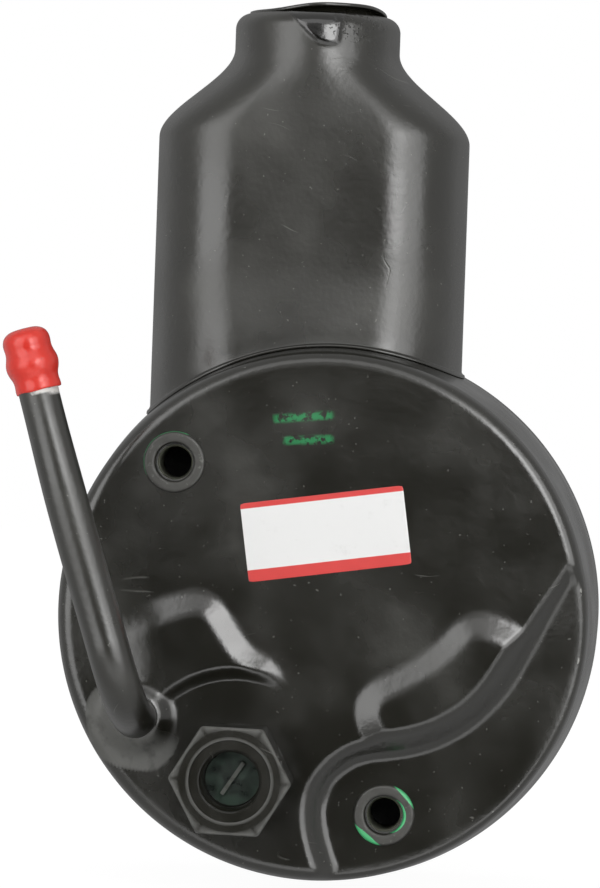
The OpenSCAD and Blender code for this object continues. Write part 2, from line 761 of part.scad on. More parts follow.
module shaft_seal() color(rubber) rear_view() {
    front = -hub_reach;
    back = shaft_seal_l - hub_reach;
    rotate_extrude() polygon([
        [shaft_seal_d / 2, back], [shaft_seal_d / 2, front + 0.4], [shaft_seal_d / 2 - 1.4, front + 0.4],
        [shaft_seal_d / 2 - 1.4, back - 1.8], [shaft_r + 2.6, back - 1.8], [shaft_r + 1.8, front + 1.4],
        [shaft_r + run_gap, front + 2], [shaft_r + run_gap, front + 3.2], [shaft_r + 1, back]
    ]);
}

module drive_shaft() color(steel) rear_view() {
    difference() {
        union() {
            rotate_extrude() polygon([
                [0, -shaft_reach], [shaft_r - 1.5, -shaft_reach], [shaft_r, 1.5 - shaft_reach],
                [shaft_r, -hub_reach - 1.5], [shaft_r - 0.4, -hub_reach - 1.5],
                [shaft_r - 0.4, -hub_reach - 0.5], [shaft_r, -hub_reach - 0.5],
                [shaft_r, cart_w + 1], [spline_r, cart_w + 2], [spline_r, clip_groove_w],
                [spline_r - 0.8, clip_groove_w], [spline_r - 0.8, clip_groove_w + 1.3],
                [spline_r, clip_groove_w + 1.3], [spline_r, shaft_end_w - 0.8],
                [spline_r - 0.8, shaft_end_w], [0, shaft_end_w]
            ]);
            for (i = [0:7])
                rotate([0, 0, 45 * i]) translate([spline_r - 0.6, -1.2, ring_w - 2])
                    cube([spline_h + 0.6, 2.4, plate_w - ring_w + 2]);
        }
        rod(shaft_tap_d / 2, -shaft_reach - 1, shaft_tap_l - shaft_reach);
    }
}

module rotor() color(steel) rear_view() {
    difference() {
        rod(rotor_r, ring_w + vane_gap, plate_w - vane_gap);
        rod(spline_r + 0.02, ring_w - 1, plate_w + 1);
        for (i = [0:7])
            rotate([0, 0, 45 * i]) translate([0, -1.22, ring_w - 1])
                cube([spline_r + spline_h + 0.02, 2.44, ring_t + 2]);
        for (i = [0:vanes - 1])
            rotate([0, 0, cam_turn + vane_step * (i + 0.5)]) {
                translate([slot_root_r, -vane_t / 2 - vane_gap, ring_w - 1])
                    cube([rotor_r, vane_t + 2 * vane_gap, ring_t + 2]);
                translate([slot_root_r + 0.3, 0, ring_w - 1]) cylinder(r = vane_t * 0.8, h = ring_t + 2);
            }
    }
}

module rotor_clip() color(steel) rear_view() {
    difference() {
        ring(spline_r - 0.75, spline_r + 1.4, clip_groove_w + 0.1, clip_groove_w + 1.2);
        translate([0, -1.6, clip_groove_w - 1]) cube([rotor_r, 3.2, 4]);
    }
}

module vane(i) {
    t = vane_t / 2;
    color(steel) rear_view() rotate([0, 0, cam_turn + vane_step * (i - 0.5)])
        translate([0, 0, ring_w + vane_gap]) linear_extrude(height = ring_t - 2 * vane_gap)
            polygon([
                [tip_r - vane_h, -t], [tip_r - 0.35, -t], [tip_r - 0.1, -t * 0.7], [tip_r, -t * 0.3],
                [tip_r, t * 0.3], [tip_r - 0.1, t * 0.7], [tip_r - 0.35, t], [tip_r - vane_h, t]
            ]);
}

module vane_01() vane(1);
module vane_02() vane(2);
module vane_03() vane(3);
module vane_04() vane(4);
module vane_05() vane(5);
module vane_06() vane(6);
module vane_07() vane(7);
module vane_08() vane(8);
module vane_09() vane(9);
module vane_10() vane(10);

function cam_r(a) = cam_small_r + cam_lift * (1 - cos(2 * a)) / 2;

module dowel_places() {
    for (a = [0, 180]) rotate([0, 0, cam_turn + a]) translate([dowel_at, 0, 0]) children();
}

// curved port between two radii, centred on an angle
module kidney(r1, r2, w1, w2, mid, span) {
    rotate([0, 0, mid - span / 2]) rotate_extrude(angle = span)
        translate([r1, w1]) square([r2 - r1, w2 - w1]);
}

module thrust_plate() color(steel) rear_view() {
    difference() {
        rod(plate_r, cart_w, ring_w);
        rod(shaft_r + 0.4, cart_w - 1, ring_w + 1);
        dowel_places() rod(dowel_d / 2 + run_gap, cart_w + 2, ring_w + 1);
        for (a = [35, 215]) kidney(18.6, 22, ring_w - 2.5, ring_w + 1, cam_turn + a, 42);
        for (a = [125, 305]) kidney(18.6, 22, cart_w - 1, ring_w + 1, cam_turn + a, 36);
    }
}

module cam_ring() color(steel) rear_view() {
    difference() {
        rod(plate_r, ring_w, plate_w);
        rotate([0, 0, cam_turn]) translate([0, 0, ring_w - 1]) linear_extrude(height = ring_t + 2)
            polygon([for (i = [0:95]) let (a = 3.75 * i) cam_r(a) * [cos(a), sin(a)]]);
        dowel_places() rod(dowel_d / 2 + run_gap, ring_w - 1, plate_w + 1);
        for (a = [35, 215]) kidney(27.6, cart_r + 1, ring_w + 5, plate_w - 5, cam_turn + a, 30);
    }
}

module dowel_pins() color(steel) rear_view()
    dowel_places() rod(dowel_d / 2, cart_w + 2.2, plate_w + plate_t - 2.2);

module pressure_plate() color(steel) rear_view() {
    difference() {
        rod(plate_r, plate_w, spring_w);
        rod(spline_r + 2.4, plate_w - 1, shaft_end_w + 0.8);
        dowel_places() rod(dowel_d / 2 + run_gap, plate_w - 1, spring_w - 2);
        for (a = [125, 305]) kidney(18.6, 22, plate_w - 1, spring_w + 1, cam_turn + a, 36);
        for (a = [35, 215]) kidney(18.6, 22, plate_w - 1, plate_w + 2.5, cam_turn + a, 42);
        ring(plate_r - 1.9, plate_r + 1, spring_w - 3.6, spring_w - 1.4);
    }
}

module pressure_plate_o_ring() color(rubber) rear_view() o_ring(plate_r - 0.92, 0.95, spring_w - 2.5);

module plate_spring() color(steel) rear_view()
    coil(plate_coil_d / 2, plate_wire_d / 2, spring_w, end_w, 1.75, 16, 8);

module end_plate() color(steel) rear_view() {
    difference() {
        rotate_extrude() polygon([
            [0, end_w], [counter_r - fit, end_w], [counter_r - fit, end_w + end_t],
            [counter_r - 4, end_w + end_t], [counter_r - 9, end_w + end_t + 1.6], [0, end_w + end_t + 1.6]
        ]);
        ring(counter_r - 2.15, counter_r + 1, end_w + 2.2, end_w + 4.6);
    }
}

module end_plate_o_ring() color(rubber) rear_view() o_ring(counter_r - 1.05, 1, end_w + 3.4);

module retaining_ring() color(steel) rear_view() {
    difference() {
        ring(counter_r - 1.6, counter_r + 1.1, clip_w, clip_w + clip_t);
        rotate([0, 0, 80]) translate([0, -4, clip_w - 1]) cube([cart_d, 8, clip_t + 2]);
    }
}

module valve_spool() color(steel) rear_view() translate([port_x, port_z, 0]) {
    nose_w = spool_w + spool_l;
    difference() {
        rotate_extrude() polygon([
            [0, spool_w], [spool_r - 0.4, spool_w], [spool_r, spool_w + 0.4], [spool_r, spool_w + 12],
            [spool_r - 1.7, spool_w + 12], [spool_r - 1.7, spool_w + 20], [spool_r, spool_w + 20],
            [spool_r, nose_w - 5], [spool_r - 0.4, nose_w - 4.6], [spool_r - 3.5, nose_w - 4.6],
            [spool_r - 3.5, nose_w], [0, nose_w]
        ]);
        rod(relief_r, spool_w - 1, relief_floor_w);
        translate([0, 0, spool_w + 16]) rotate([0, 90, 0]) translate([0, 0, -spool_d]) cylinder(r = 1.5, h = 2 * spool_d);
    }
}

module relief_seat() color(steel) rear_view() translate([port_x, port_z, 0]) {
    difference() {
        union() {
            translate([0, 0, spool_w - head_h]) cylinder(r = relief_r + 1.2, h = head_h, $fn = 6);
            rod(relief_r - 0.05, spool_w - tiny, spool_w + seat_l);
        }
        rod(relief_hole_r, spool_w - head_h - 1, spool_w + seat_l + 1);
    }
}

module relief_ball() color(steel) rear_view() translate([port_x, port_z, ball_w]) sphere(r = ball_r);

module ball_guide() color(steel) rear_view() translate([port_x, port_z, 0]) {
    rod(relief_r - 0.2, guide_w + 0.02, guide_end_w);
    rod(1.3, guide_end_w - tiny, guide_end_w + 5);
}

module relief_spring() color(steel) rear_view() translate([port_x, port_z, 0])
    coil(relief_r - 0.4 - relief_wire_d / 2 - 0.4, relief_wire_d / 2, guide_end_w, relief_floor_w,
        relief_turns, 12, 6);

module flow_valve_spring() color(steel) rear_view() translate([port_x, port_z, 0])
    coil(flow_coil_r, flow_wire_d / 2, valve_floor_w, spool_w, flow_turns, 14, 7);

reservoir_can();
filler_neck();
filler_collar();
return_tube();
tube_cap();
outlet_fitting();
fitting_o_ring();
port_plug();
stud_seals();
pump_housing();
reservoir_o_ring();
magnet();
shaft_bushing();
shaft_seal();
drive_shaft();
rotor();
rotor_clip();
vane_01();
vane_02();
vane_03();
vane_04();
vane_05();
vane_06();
vane_07();
vane_08();
vane_09();
vane_10();
thrust_plate();
cam_ring();
dowel_pins();
pressure_plate();
pressure_plate_o_ring();
plate_spring();
end_plate();
end_plate_o_ring();
retaining_ring();
valve_spool();
relief_seat();
relief_ball();
ball_guide();
relief_spring();
flow_valve_spring();
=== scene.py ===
"""Dressed model of a vane-type power steering pump in a pressed reservoir can.

Sizes are in millimetres in the part's own frame and go to metres only when a mesh is made. The rear face of the
can looks to -Y, the shaft points to +Y and the filler neck stands up along +Z. A depth called w grows towards the
rear, so that y = -w.
"""

import logging
import math
from dataclasses import dataclass, field
from enum import Enum
from typing import Optional, Sequence

import bpy
import numpy as np
from mathutils import Matrix, Vector

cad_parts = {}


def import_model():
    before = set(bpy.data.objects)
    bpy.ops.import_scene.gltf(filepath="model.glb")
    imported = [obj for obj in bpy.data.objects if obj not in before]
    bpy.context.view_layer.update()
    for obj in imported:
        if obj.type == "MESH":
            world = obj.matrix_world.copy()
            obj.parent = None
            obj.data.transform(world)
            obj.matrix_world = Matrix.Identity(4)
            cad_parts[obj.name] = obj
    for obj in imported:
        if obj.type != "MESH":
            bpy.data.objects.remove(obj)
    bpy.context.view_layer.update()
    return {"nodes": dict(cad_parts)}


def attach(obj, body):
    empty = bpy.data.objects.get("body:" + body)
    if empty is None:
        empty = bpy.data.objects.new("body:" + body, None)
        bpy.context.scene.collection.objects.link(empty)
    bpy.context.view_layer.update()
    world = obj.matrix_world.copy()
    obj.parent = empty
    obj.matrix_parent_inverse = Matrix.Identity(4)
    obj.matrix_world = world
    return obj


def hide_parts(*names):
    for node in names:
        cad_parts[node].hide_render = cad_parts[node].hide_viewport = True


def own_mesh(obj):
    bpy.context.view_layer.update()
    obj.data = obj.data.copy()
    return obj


LOG = logging.getLogger("pump")
MM = 0.001
TURN = 2.0 * math.pi
Colour = tuple[float, float, float]
Point = tuple[float, float, float]
Flat = tuple[float, float]
Span = tuple[float, float]


class Body(Enum):
    """Bodies of the mechanism that a piece can ride on."""

    PUMP = "pump"
    VALVE = "valve"


class Slot(Enum):
    """Finishes that the record names."""

    BLACK_PAINT = "black_paint"
    BARE_STEEL = "bare_steel"
    GREEN_RUBBER = "green_rubber"
    RED_VINYL = "red_vinyl"


# Shape helpers


def smoothstep(t: np.ndarray) -> np.ndarray:
    """Rise from 0 to 1 with level ends, as 3 t squared less 2 t cubed."""
    t = np.clip(t, 0.0, 1.0)
    return t * t * (3.0 - 2.0 * t)


def soft_min(a: np.ndarray, b: np.ndarray | float, width: float) -> np.ndarray:
    """Take the lower of two heights and round the edge between them.

    Args:
        a: First heights.
        b: Second heights.
        width: Height over which the two run into each other.

    Returns:
        The lower height, less a parabola where the two are close.
    """
    share = np.clip(0.5 + 0.5 * (b - a) / width, 0.0, 1.0)
    return b + (a - b) * share - width * share * (1.0 - share)


def soft_max(a: np.ndarray, b: np.ndarray | float, width: float) -> np.ndarray:
    """Take the higher of two heights with a rounded valley between them."""
    return -soft_min(-a, -b, width)


def ramp(t: np.ndarray, width: float = 0.22) -> np.ndarray:
    """Rise evenly from 0 to 1 with a short round at each end."""
    return soft_min(soft_max(np.asarray(t, float), 0.0, width), 1.0, width)


def round_off(points: Sequence[Sequence[float]], rounds: int, closed: bool) -> np.ndarray:
    """Cut the corners of a line: each side keeps the points at a quarter and three quarters of it.

    Args:
        points: Corners of the line.
        rounds: How often the corners are cut.
        closed: Whether the last corner joins the first.

    Returns:
        The smooth line as an array of points.
    """
    line = np.asarray(points, dtype=float)
    for _ in range(rounds):
        head = line if closed else line[:-1]
        tail = np.roll(line, -1, axis=0) if closed else line[1:]
        cut = np.stack([0.75 * head + 0.25 * tail, 0.25 * head + 0.75 * tail], axis=1).reshape(-1, line.shape[1])
        line = cut if closed else np.concatenate([line[:1], cut, line[-1:]])
    return line


def outline_distance(outline: np.ndarray, x: np.ndarray, z: np.ndarray) -> np.ndarray:
    """Measure how far points lie outside a closed outline.

    Each point is dropped on every side of the outline and the nearest foot counts. A point whose level ray crosses
    the outline an odd number of times is inside, and its distance is negative.

    Args:
        outline: Corners of the closed outline.
        x: Sideways places of the points.
        z: Heights of the points.

    Returns:
        The signed distances, in the shape of x.
    """
    a = outline.astype(np.float32)
    b = np.roll(a, -1, axis=0)
    p = np.stack([x.ravel(), z.ravel()], axis=1).astype(np.float32)[:, None, :]
    side = (b - a)[None]
    from_a = p - a[None]
    along = np.clip((from_a * side).sum(-1) / (side * side).sum(-1), 0.0, 1.0)
    gap = np.linalg.norm(from_a - along[..., None] * side, axis=-1).min(axis=1)
    spans = (a[None, :, 1] > p[..., 1]) != (b[None, :, 1] > p[..., 1])
    rise = np.where(np.abs(side[..., 1]) < 1e-9, 1e-9, side[..., 1])
    cross = a[None, :, 0] + (p[..., 1] - a[None, :, 1]) * side[..., 0] / rise
    inside = (spans & (p[..., 0] < cross)).sum(axis=1) % 2 == 1
    return np.where(inside, -gap, gap).reshape(x.shape).astype(float)


def circle(count: int) -> np.ndarray:
    """List evenly spread angles of a full turn, as one row."""
    return np.linspace(0.0, TURN, count, endpoint=False)[None]


def degrees_off(angle: np.ndarray) -> np.ndarray:
    """Measure how far angles are from zero the short way round, in degrees."""
    return np.degrees(np.abs(np.mod(angle + math.pi, TURN) - math.pi))


def thread_ridge(depth: np.ndarray, angle: np.ndarray, pitch: float) -> np.ndarray:
    """Give a thread's height from 0 to 1, as a cosine of depth over pitch less the angle."""
    return 0.5 + 0.5 * np.cos(TURN * depth / pitch - angle)


def polar(place: Flat, x: np.ndarray, z: np.ndarray) -> tuple[np.ndarray, np.ndarray]:
    """Give the distance and the direction of points from a place in the rear view."""
    return np.hypot(x - place[0], z - place[1]), np.arctan2(z - place[1], x - place[0])


def rear(x: np.ndarray, up: np.ndarray, w: np.ndarray) -> np.ndarray:
    """Place points drawn in the rear view, with depth w, in the part's frame."""
    x, up, w = np.broadcast_arrays(x, up, w)
    return np.stack([x, -w, up], axis=-1)


def ripple(angle: np.ndarray, seed: int, terms: int = 5) -> np.ndarray:
    """Sum a few sines of whole turns with seeded sizes and phases, so that a rim looks hand made.

    Args:
        angle: Angles round the rim.
        seed: Seed of the draws.
        terms: Number of sines.

    Returns:
        The waves, in the shape of angle.
    """
    draw = np.random.default_rng(seed)
    k = np.arange(2, 2 + terms)
    size = draw.uniform(0.4, 1.0, terms) / k
    phase = draw.uniform(0.0, TURN, terms)
    return (size * np.sin(np.asarray(angle)[..., None] * k + phase)).sum(-1)


@dataclass
class Surface:
    """A surface given by its points on a grid of rows and columns.

    Attributes:
        points: Array of rows, columns and x, y, z in millimetres.
        ring_rows: Whether the last row joins the first.
        ring_columns: Whether the last column joins the first.
        keep: Which grid cells stay, or None for all of them.
        uv: Flat place of each point, or None.
        marks: Named values at each point, for materials.
        sharp: Angle in degrees above which an edge stays hard, or None.
    """

    points: np.ndarray
    ring_rows: bool = False
    ring_columns: bool = True
    keep: Optional[np.ndarray] = None
    uv: Optional[np.ndarray] = None
    marks: dict[str, np.ndarray] = field(default_factory=dict)
    sharp: Optional[float] = None

    def cells(self) -> np.ndarray:
        """List the four corners of each kept cell, in order round it.

        Returns:
            Rows of four point numbers.
        """
        rows, columns = self.points.shape[:2]
        index = np.arange(rows * columns).reshape(rows, columns)
        down = np.roll(index, -1, axis=0)
        right = np.roll(index, -1, axis=1)
        both = np.roll(down, -1, axis=1)
        quads = np.stack([index, down, both, right], axis=-1)
        quads = quads[: rows if self.ring_rows else rows - 1, : columns if self.ring_columns else columns - 1]
        return quads.reshape(-1, 4) if self.keep is None else quads[self.keep]

    def centres(self) -> np.ndarray:
        """Give the middle of each cell, in rows and columns.

        Returns:
            The middles in millimetres.
        """
        p = self.points
        p = np.concatenate([p, p[:1]], axis=0) if self.ring_rows else p
        p = np.concatenate([p, p[:, :1]], axis=1) if self.ring_columns else p
        return 0.25 * (p[:-1, :-1] + p[1:, :-1] + p[1:, 1:] + p[:-1, 1:])

    def build(self, name: str, material: bpy.types.Material, facing: Optional[Point] = None) -> bpy.types.Object:
        """Make the mesh object, with equal points joined and faces outwards.

        Faces point away from the middle of the surface, or along facing where a flat piece has no inside.

        Args:
            name: Name of the piece.
            material: Its finish.
            facing: Direction in which a flat piece looks, or None.

        Returns:
            The object, at the origin.
        """
        flat = self.points.reshape(-1, 3)
        _, first, same = np.unique(np.round(flat, 5), axis=0, return_index=True, return_inverse=True)
        quads = np.asarray(same).reshape(-1)[self.cells()]
        points = flat[first]
        a, b, c, d = (points[quads[:, i]] for i in range(4))
        normal = np.cross(c - a, d - b)
        away = np.asarray(facing, float) if facing else 0.25 * (a + b + c + d) - points[np.unique(quads)].mean(axis=0)
        if (normal * away).sum() < 0.0:
            quads = quads[:, ::-1]
        ends = np.roll(quads, -1, axis=1)
        lean = quads == ends
        whole = quads[~lean.any(axis=1)]
        thin = quads[lean.sum(axis=1) == 1]
        three = thin[~lean[lean.sum(axis=1) == 1]].reshape(-1, 3)
        used, place = np.unique(np.concatenate([whole.ravel(), three.ravel()]), return_inverse=True)
        place = np.asarray(place).reshape(-1)
        faces = place[: whole.size].reshape(-1, 4).tolist() + place[whole.size:].reshape(-1, 3).tolist()
        mesh = bpy.data.meshes.new(name)
        mesh.from_pydata((points[used] * MM).tolist(), [], faces)
        mesh.polygons.foreach_set("use_smooth", np.ones(len(mesh.polygons), dtype=bool))
        source = first[used]
        for mark, values in self.marks.items():
            data = mesh.attributes.new(mark, "FLOAT", "POINT").data
            data.foreach_set("value", values.reshape(-1)[source].astype(np.float32))
        if self.uv is not None:
            corner = np.empty(len(mesh.loops), dtype=np.int32)
            mesh.loops.foreach_get("vertex_index", corner)
            layer = mesh.uv_layers.new(name="place")
            layer.data.foreach_set("uv", self.uv.reshape(-1, 2)[source][corner].astype(np.float32).ravel())
        if self.sharp is not None:
            mesh.set_sharp_from_angle(angle=math.radians(self.sharp))
        mesh.update()
        mesh.validate()
        piece = bpy.data.objects.new(name, mesh)
        bpy.context.scene.collection.objects.link(piece)
        mesh.materials.append(material)
        LOG.info("%s: %d faces", name, len(mesh.polygons))
        return piece


def settle(piece: bpy.types.Object, body: Body, slot: Slot, *nodes: str) -> bpy.types.Object:
    """Fix a piece to its body and let it stand for CAD nodes.

    Args:
        piece: The finished piece.
        body: Body that carries it.
        slot: Finish of the record that it takes; not used.
        *nodes: CAD nodes that it stands for.

    Returns:
        The same piece.
    """
    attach(piece, body.value)
    if nodes:
        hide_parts(*nodes)
    return piece


@dataclass(frozen=True)
class Axis:
    """A line that profiles are turned round, with two directions across it."""

    origin: Point
    along: Point
    across: Point

    @classmethod
    def rearwards(cls, place: Flat) -> "Axis":
        """Give the axis that points rearwards from a place in the rear view."""
        return cls((place[0], 0.0, place[1]), (0.0, -1.0, 0.0), (1.0, 0.0, 0.0))

    def turn(self, radius: np.ndarray, height: np.ndarray, angle: np.ndarray) -> np.ndarray:
        """Carry points round the axis: origin, plus height along it, plus radius in the turned direction.

        Args:
            radius: Distances from the axis.
            height: Places along it.
            angle: Angles round it.

        Returns:
            The points, with x, y, z last.
        """
        along = np.asarray(self.along, float)
        across = np.asarray(self.across, float)
        side = np.cross(along, across)
        radius, height, angle = np.broadcast_arrays(radius, height, angle)
        out = np.cos(angle)[..., None] * across + np.sin(angle)[..., None] * side
        return np.asarray(self.origin, float) + height[..., None] * along + radius[..., None] * out


def sweep(path: np.ndarray, radius: np.ndarray, sides: int, upright: Point, squash: Optional[np.ndarray] = None,
          closed: bool = True) -> np.ndarray:
    """Carry a ring along a path: each row is the path's point plus the radius across its direction.

    Args:
        path: Points of the centre line.
        radius: Radius of the ring at each point.
        sides: Points round the ring.
        upright: Direction that is never along the path.
        squash: Share by which the ring is flattened across the upright direction, or None.
        closed: Whether both ends run together into a point.

    Returns:
        Points in rows along the path and columns round it.
    """
    tangent = np.gradient(path, axis=0)
    tangent /= np.linalg.norm(tangent, axis=1, keepdims=True)
    one = np.cross(np.asarray(upright, float), tangent)
    one /= np.linalg.norm(one, axis=1, keepdims=True)
    two = np.cross(tangent, one)
    angle = np.linspace(0.0, TURN, sides, endpoint=False)
    flat = np.zeros(len(path)) if squash is None else squash
    rows = (path[:, None] + radius[:, None, None] * (
        ((1.0 - flat)[:, None] * np.cos(angle))[..., None] * one[:, None]
        + ((1.0 + flat)[:, None] * np.sin(angle))[..., None] * two[:, None]))
    if closed:
        ends = np.repeat(path[[0, -1], None], sides, axis=1)
        rows = np.concatenate([ends[:1], rows, ends[1:]])
    return rows


# Finishes


class Board:
    """Lays out the nodes of one material that reads Object coordinates."""

    def __init__(self, name: str) -> None:
        """Start a material with a bare principled shader.

        Args:
            name: Name of the material.
        """
        self.material = bpy.data.materials.new(name)
        self.material.use_nodes = True
        self.tree = self.material.node_tree
        self.shader = self.tree.nodes["Principled BSDF"]
        self.place = self.tree.nodes.new("ShaderNodeTexCoord").outputs["Object"]

    def node(self, kind: str, inputs: dict, **settings: object) -> bpy.types.Node:
        """Add a node.

        Args:
            kind: Blender's name of the node's type.
            inputs: Values or sockets for its inputs, by name or number.
            **settings: Properties of the node.

        Returns:
            The new node.
        """
        made = self.tree.nodes.new(kind)
        for key, value in settings.items():
            setattr(made, key, value)
        for key, value in inputs.items():
            if isinstance(value, bpy.types.NodeSocket):
                self.tree.links.new(value, made.inputs[key])
            else:
                made.inputs[key].default_value = value
        return made

    def noise(self, scale: float, detail: float = 3.0, stretch: Optional[Point] = None,
              turn: Point = (0.0, 0.0, 0.0), shift: Point = (0.0, 0.0, 0.0)) -> bpy.types.NodeSocket:
        """Give a cloudy value about 0.5, with scale in waves per metre.

        Args:
            scale: Waves per metre.
            detail: Octaves of finer noise.
            stretch: Scale of each direction, or None.
            turn: Turn of the pattern in radians.
            shift: Shift of the pattern in metres.

        Returns:
            The value's socket.
        """
        place = self.place
        if stretch is not None:
            place = self.node("ShaderNodeMapping", {"Vector": place, "Scale": stretch, "Rotation": turn,
                                                    "Location": shift}).outputs[0]
        made = self.node("ShaderNodeTexNoise", {"Vector": place, "Scale": scale, "Detail": detail})
        return made.outputs[0]

    def range(self, value: bpy.types.NodeSocket, low: float, high: float, to_low: float = 0.0,
              to_high: float = 1.0) -> bpy.types.NodeSocket:
        """Map a value smoothly from one range to another and clamp it.

        Args:
            value: Value to map.
            low: Start of its range.
            high: End of its range.
            to_low: Result at the start.
            to_high: Result at the end.

        Returns:
            The result's socket.
        """
        made = self.node("ShaderNodeMapRange", {0: value, 1: low, 2: high, 3: to_low, 4: to_high},
                         interpolation_type="SMOOTHSTEP")
        return made.outputs[0]

    def calc(self, kind: str, a: object, b: object) -> bpy.types.NodeSocket:
        """Do one step of arithmetic on two values or sockets."""
        return self.node("ShaderNodeMath", {0: a, 1: b}, operation=kind).outputs[0]

    def mix(self, share: object, a: object, b: object) -> bpy.types.NodeSocket:
        """Mix two colours by a share."""
        made = self.node("ShaderNodeMix", {0: share, 6: self.colour(a), 7: self.colour(b)}, data_type="RGBA")
        return made.outputs[2]

    @staticmethod
    def colour(value: object) -> object:
        """Give a colour its fourth number, and leave a socket alone."""
        return value if isinstance(value, bpy.types.NodeSocket) else (*value, 1.0)

    def mark(self, name: str) -> bpy.types.NodeSocket:
        """Read a value stored at the mesh's points."""
        return self.node("ShaderNodeAttribute", {}, attribute_name=name).outputs["Fac"]

    def bump(self, height: bpy.types.NodeSocket, depth: float, strength: float = 1.0,
             under: Optional[bpy.types.NodeSocket] = None) -> bpy.types.NodeSocket:
        """Turn a height into a bent normal, with its depth in metres, over another normal if given.

        Args:
            height: Height of the surface.
            depth: Depth for a height of 1, in metres.
            strength: Share of the effect.
            under: Normal that is bent further, or None.

        Returns:
            The normal's socket.
        """
        inputs: dict = {"Height": height, "Distance": depth, "Strength": strength}
        if under is not None:
            inputs["Normal"] = under
        return self.node("ShaderNodeBump", inputs).outputs[0]

    def finish(self, **sockets: object) -> bpy.types.Material:
        """Set or link the shader's inputs, with underscores for spaces in their names.

        Args:
            **sockets: Values or sockets by the name of the input.

        Returns:
            The finished material.
        """
        for key, value in sockets.items():
            target = self.shader.inputs[key.replace("_", " ")]
            if isinstance(value, bpy.types.NodeSocket):
                self.tree.links.new(value, target)
            else:
                target.default_value = value
        return self.material


@dataclass(frozen=True)
class SatinPaint:
    """Sprayed black paint: orange peel, dust specks, hairline scratches and rubbed patches.

    Attributes:
        name: Name of the material.
        dark: Colour of the clean paint.
        dusty: Colour of dust and rubs.
        rough: Roughness of the clean paint.
        peel: Depth of the orange peel in metres.
        marked: Whether the mesh carries marks for drips, froth, braze, chips with a painted highlight, and ink.
        ink: Colour of the strokes of ink.
        braze: Colour of the dull patch round a brazed joint.
        bare: Colour of the sheet where the paint is chipped, also used as a painted highlight along a rim.
    """

    name: str
    dark: Colour = (0.0096, 0.0092, 0.0062)
    dusty: Colour = (0.13, 0.13, 0.115)
    rough: float = 0.24
    peel: float = 0.00005
    marked: bool = False
    ink: Colour = (0.012, 0.19, 0.06)
    braze: Colour = (0.06, 0.06, 0.054)
    bare: Colour = (0.3, 0.3, 0.28)

    def make(self) -> bpy.types.Material:
        """Build the material.

        Returns:
            The paint, with colour, roughness and bump from its nodes.
        """
        board = Board(self.name)
        cloud = board.noise(42.0, 4.0)
        fine = board.noise(650.0, 2.0)
        specks = board.range(board.noise(1050.0, 1.0), 0.755, 0.785)
        line = board.noise(26.0, 1.0, (1.0, 1.0, 2.2), (0.4, 0.9, 0.3))
        hair = board.range(board.calc("ABSOLUTE", board.calc("SUBTRACT", line, 0.5), 0.0), 0.0, 0.0035, 1.0, 0.0)
        sparse = board.range(board.noise(75.0, 2.0, (1.0, 1.0, 1.0), shift=(0.3, 0.1, 0.2)), 0.6, 0.7)
        scratch = board.calc("MULTIPLY", hair, sparse)
        rub = board.range(cloud, 0.56, 0.78, 0.0, 0.1)
        dirt = board.calc("MAXIMUM", board.calc("MULTIPLY", specks, 0.55), board.calc("MULTIPLY", scratch, 0.4))
        colour = board.mix(board.calc("MAXIMUM", dirt, rub), self.dark, self.dusty)
        rough = board.range(board.calc("ADD", cloud, board.calc("MULTIPLY", dirt, 0.3)), 0.3, 0.75, self.rough - 0.05,
                            self.rough + 0.09)
        height = board.calc("SUBTRACT", fine, board.calc("MULTIPLY", scratch, 0.5))
        normal = board.bump(height, self.peel)
        if self.marked:
            braze = board.mark("braze")
            colour = board.mix(board.calc("MULTIPLY", braze, board.range(board.noise(240.0, 4.0), 0.25, 0.5)), colour,
                               self.braze)
            # chipped paint and a painted highlight: the pale bare colour along the can's sunk rim
            chip_and_highlight = board.calc("MULTIPLY", board.mark("chip_and_highlight"), board.range(board.noise(190.0, 6.0), 0.5, 0.62))
            colour = board.mix(board.range(chip_and_highlight, 0.4, 0.7), colour, self.bare)
            ink = board.calc("MULTIPLY", board.mark("ink"), board.range(board.noise(900.0, 3.0), 0.38, 0.52))
            colour = board.mix(ink, colour, self.ink)
            rough = board.node("ShaderNodeMix", {0: braze, 2: rough, 3: 0.55}).outputs[0]
            wet = board.mark("wet")
            colour = board.mix(wet, colour, tuple(0.35 * c for c in self.dark))
            rough = board.node("ShaderNodeMix", {0: wet, 2: rough, 3: 0.16}).outputs[0]
            froth = board.calc("MULTIPLY", board.mark("froth"), board.range(board.noise(1300.0, 1.0), 0.56, 0.66))
            normal = board.bump(froth, 0.0004, under=normal)
        return board.finish(Base_Color=colour, Roughness=rough, Normal=normal, Specular_IOR_Level=0.5)


@dataclass(frozen=True)
class CastPaint:
    """Black paint on a rough casting, with machined places left to other nodes."""

    name: str
    dark: Colour = (0.021, 0.0215, 0.02)
    dusty: Colour = (0.085, 0.085, 0.078)
    grain: float = 0.00025

    def make(self) -> bpy.types.Material:
        """Build the material from coarse sand grain and dust that lies in its hollows.

        Returns:
            The finished material.
        """
        board = Board(self.name)
        sand = board.noise(420.0, 5.0)
        cloud = board.noise(55.0, 4.0)
        low = board.range(board.calc("MULTIPLY", sand, cloud), 0.14, 0.3, 0.35, 0.0)
        colour = board.mix(low, self.dark, self.dusty)
        rough = board.range(cloud, 0.3, 0.7, 0.46, 0.62)
        return board.finish(Base_Color=colour, Roughness=rough, Normal=board.bump(sand, self.grain))


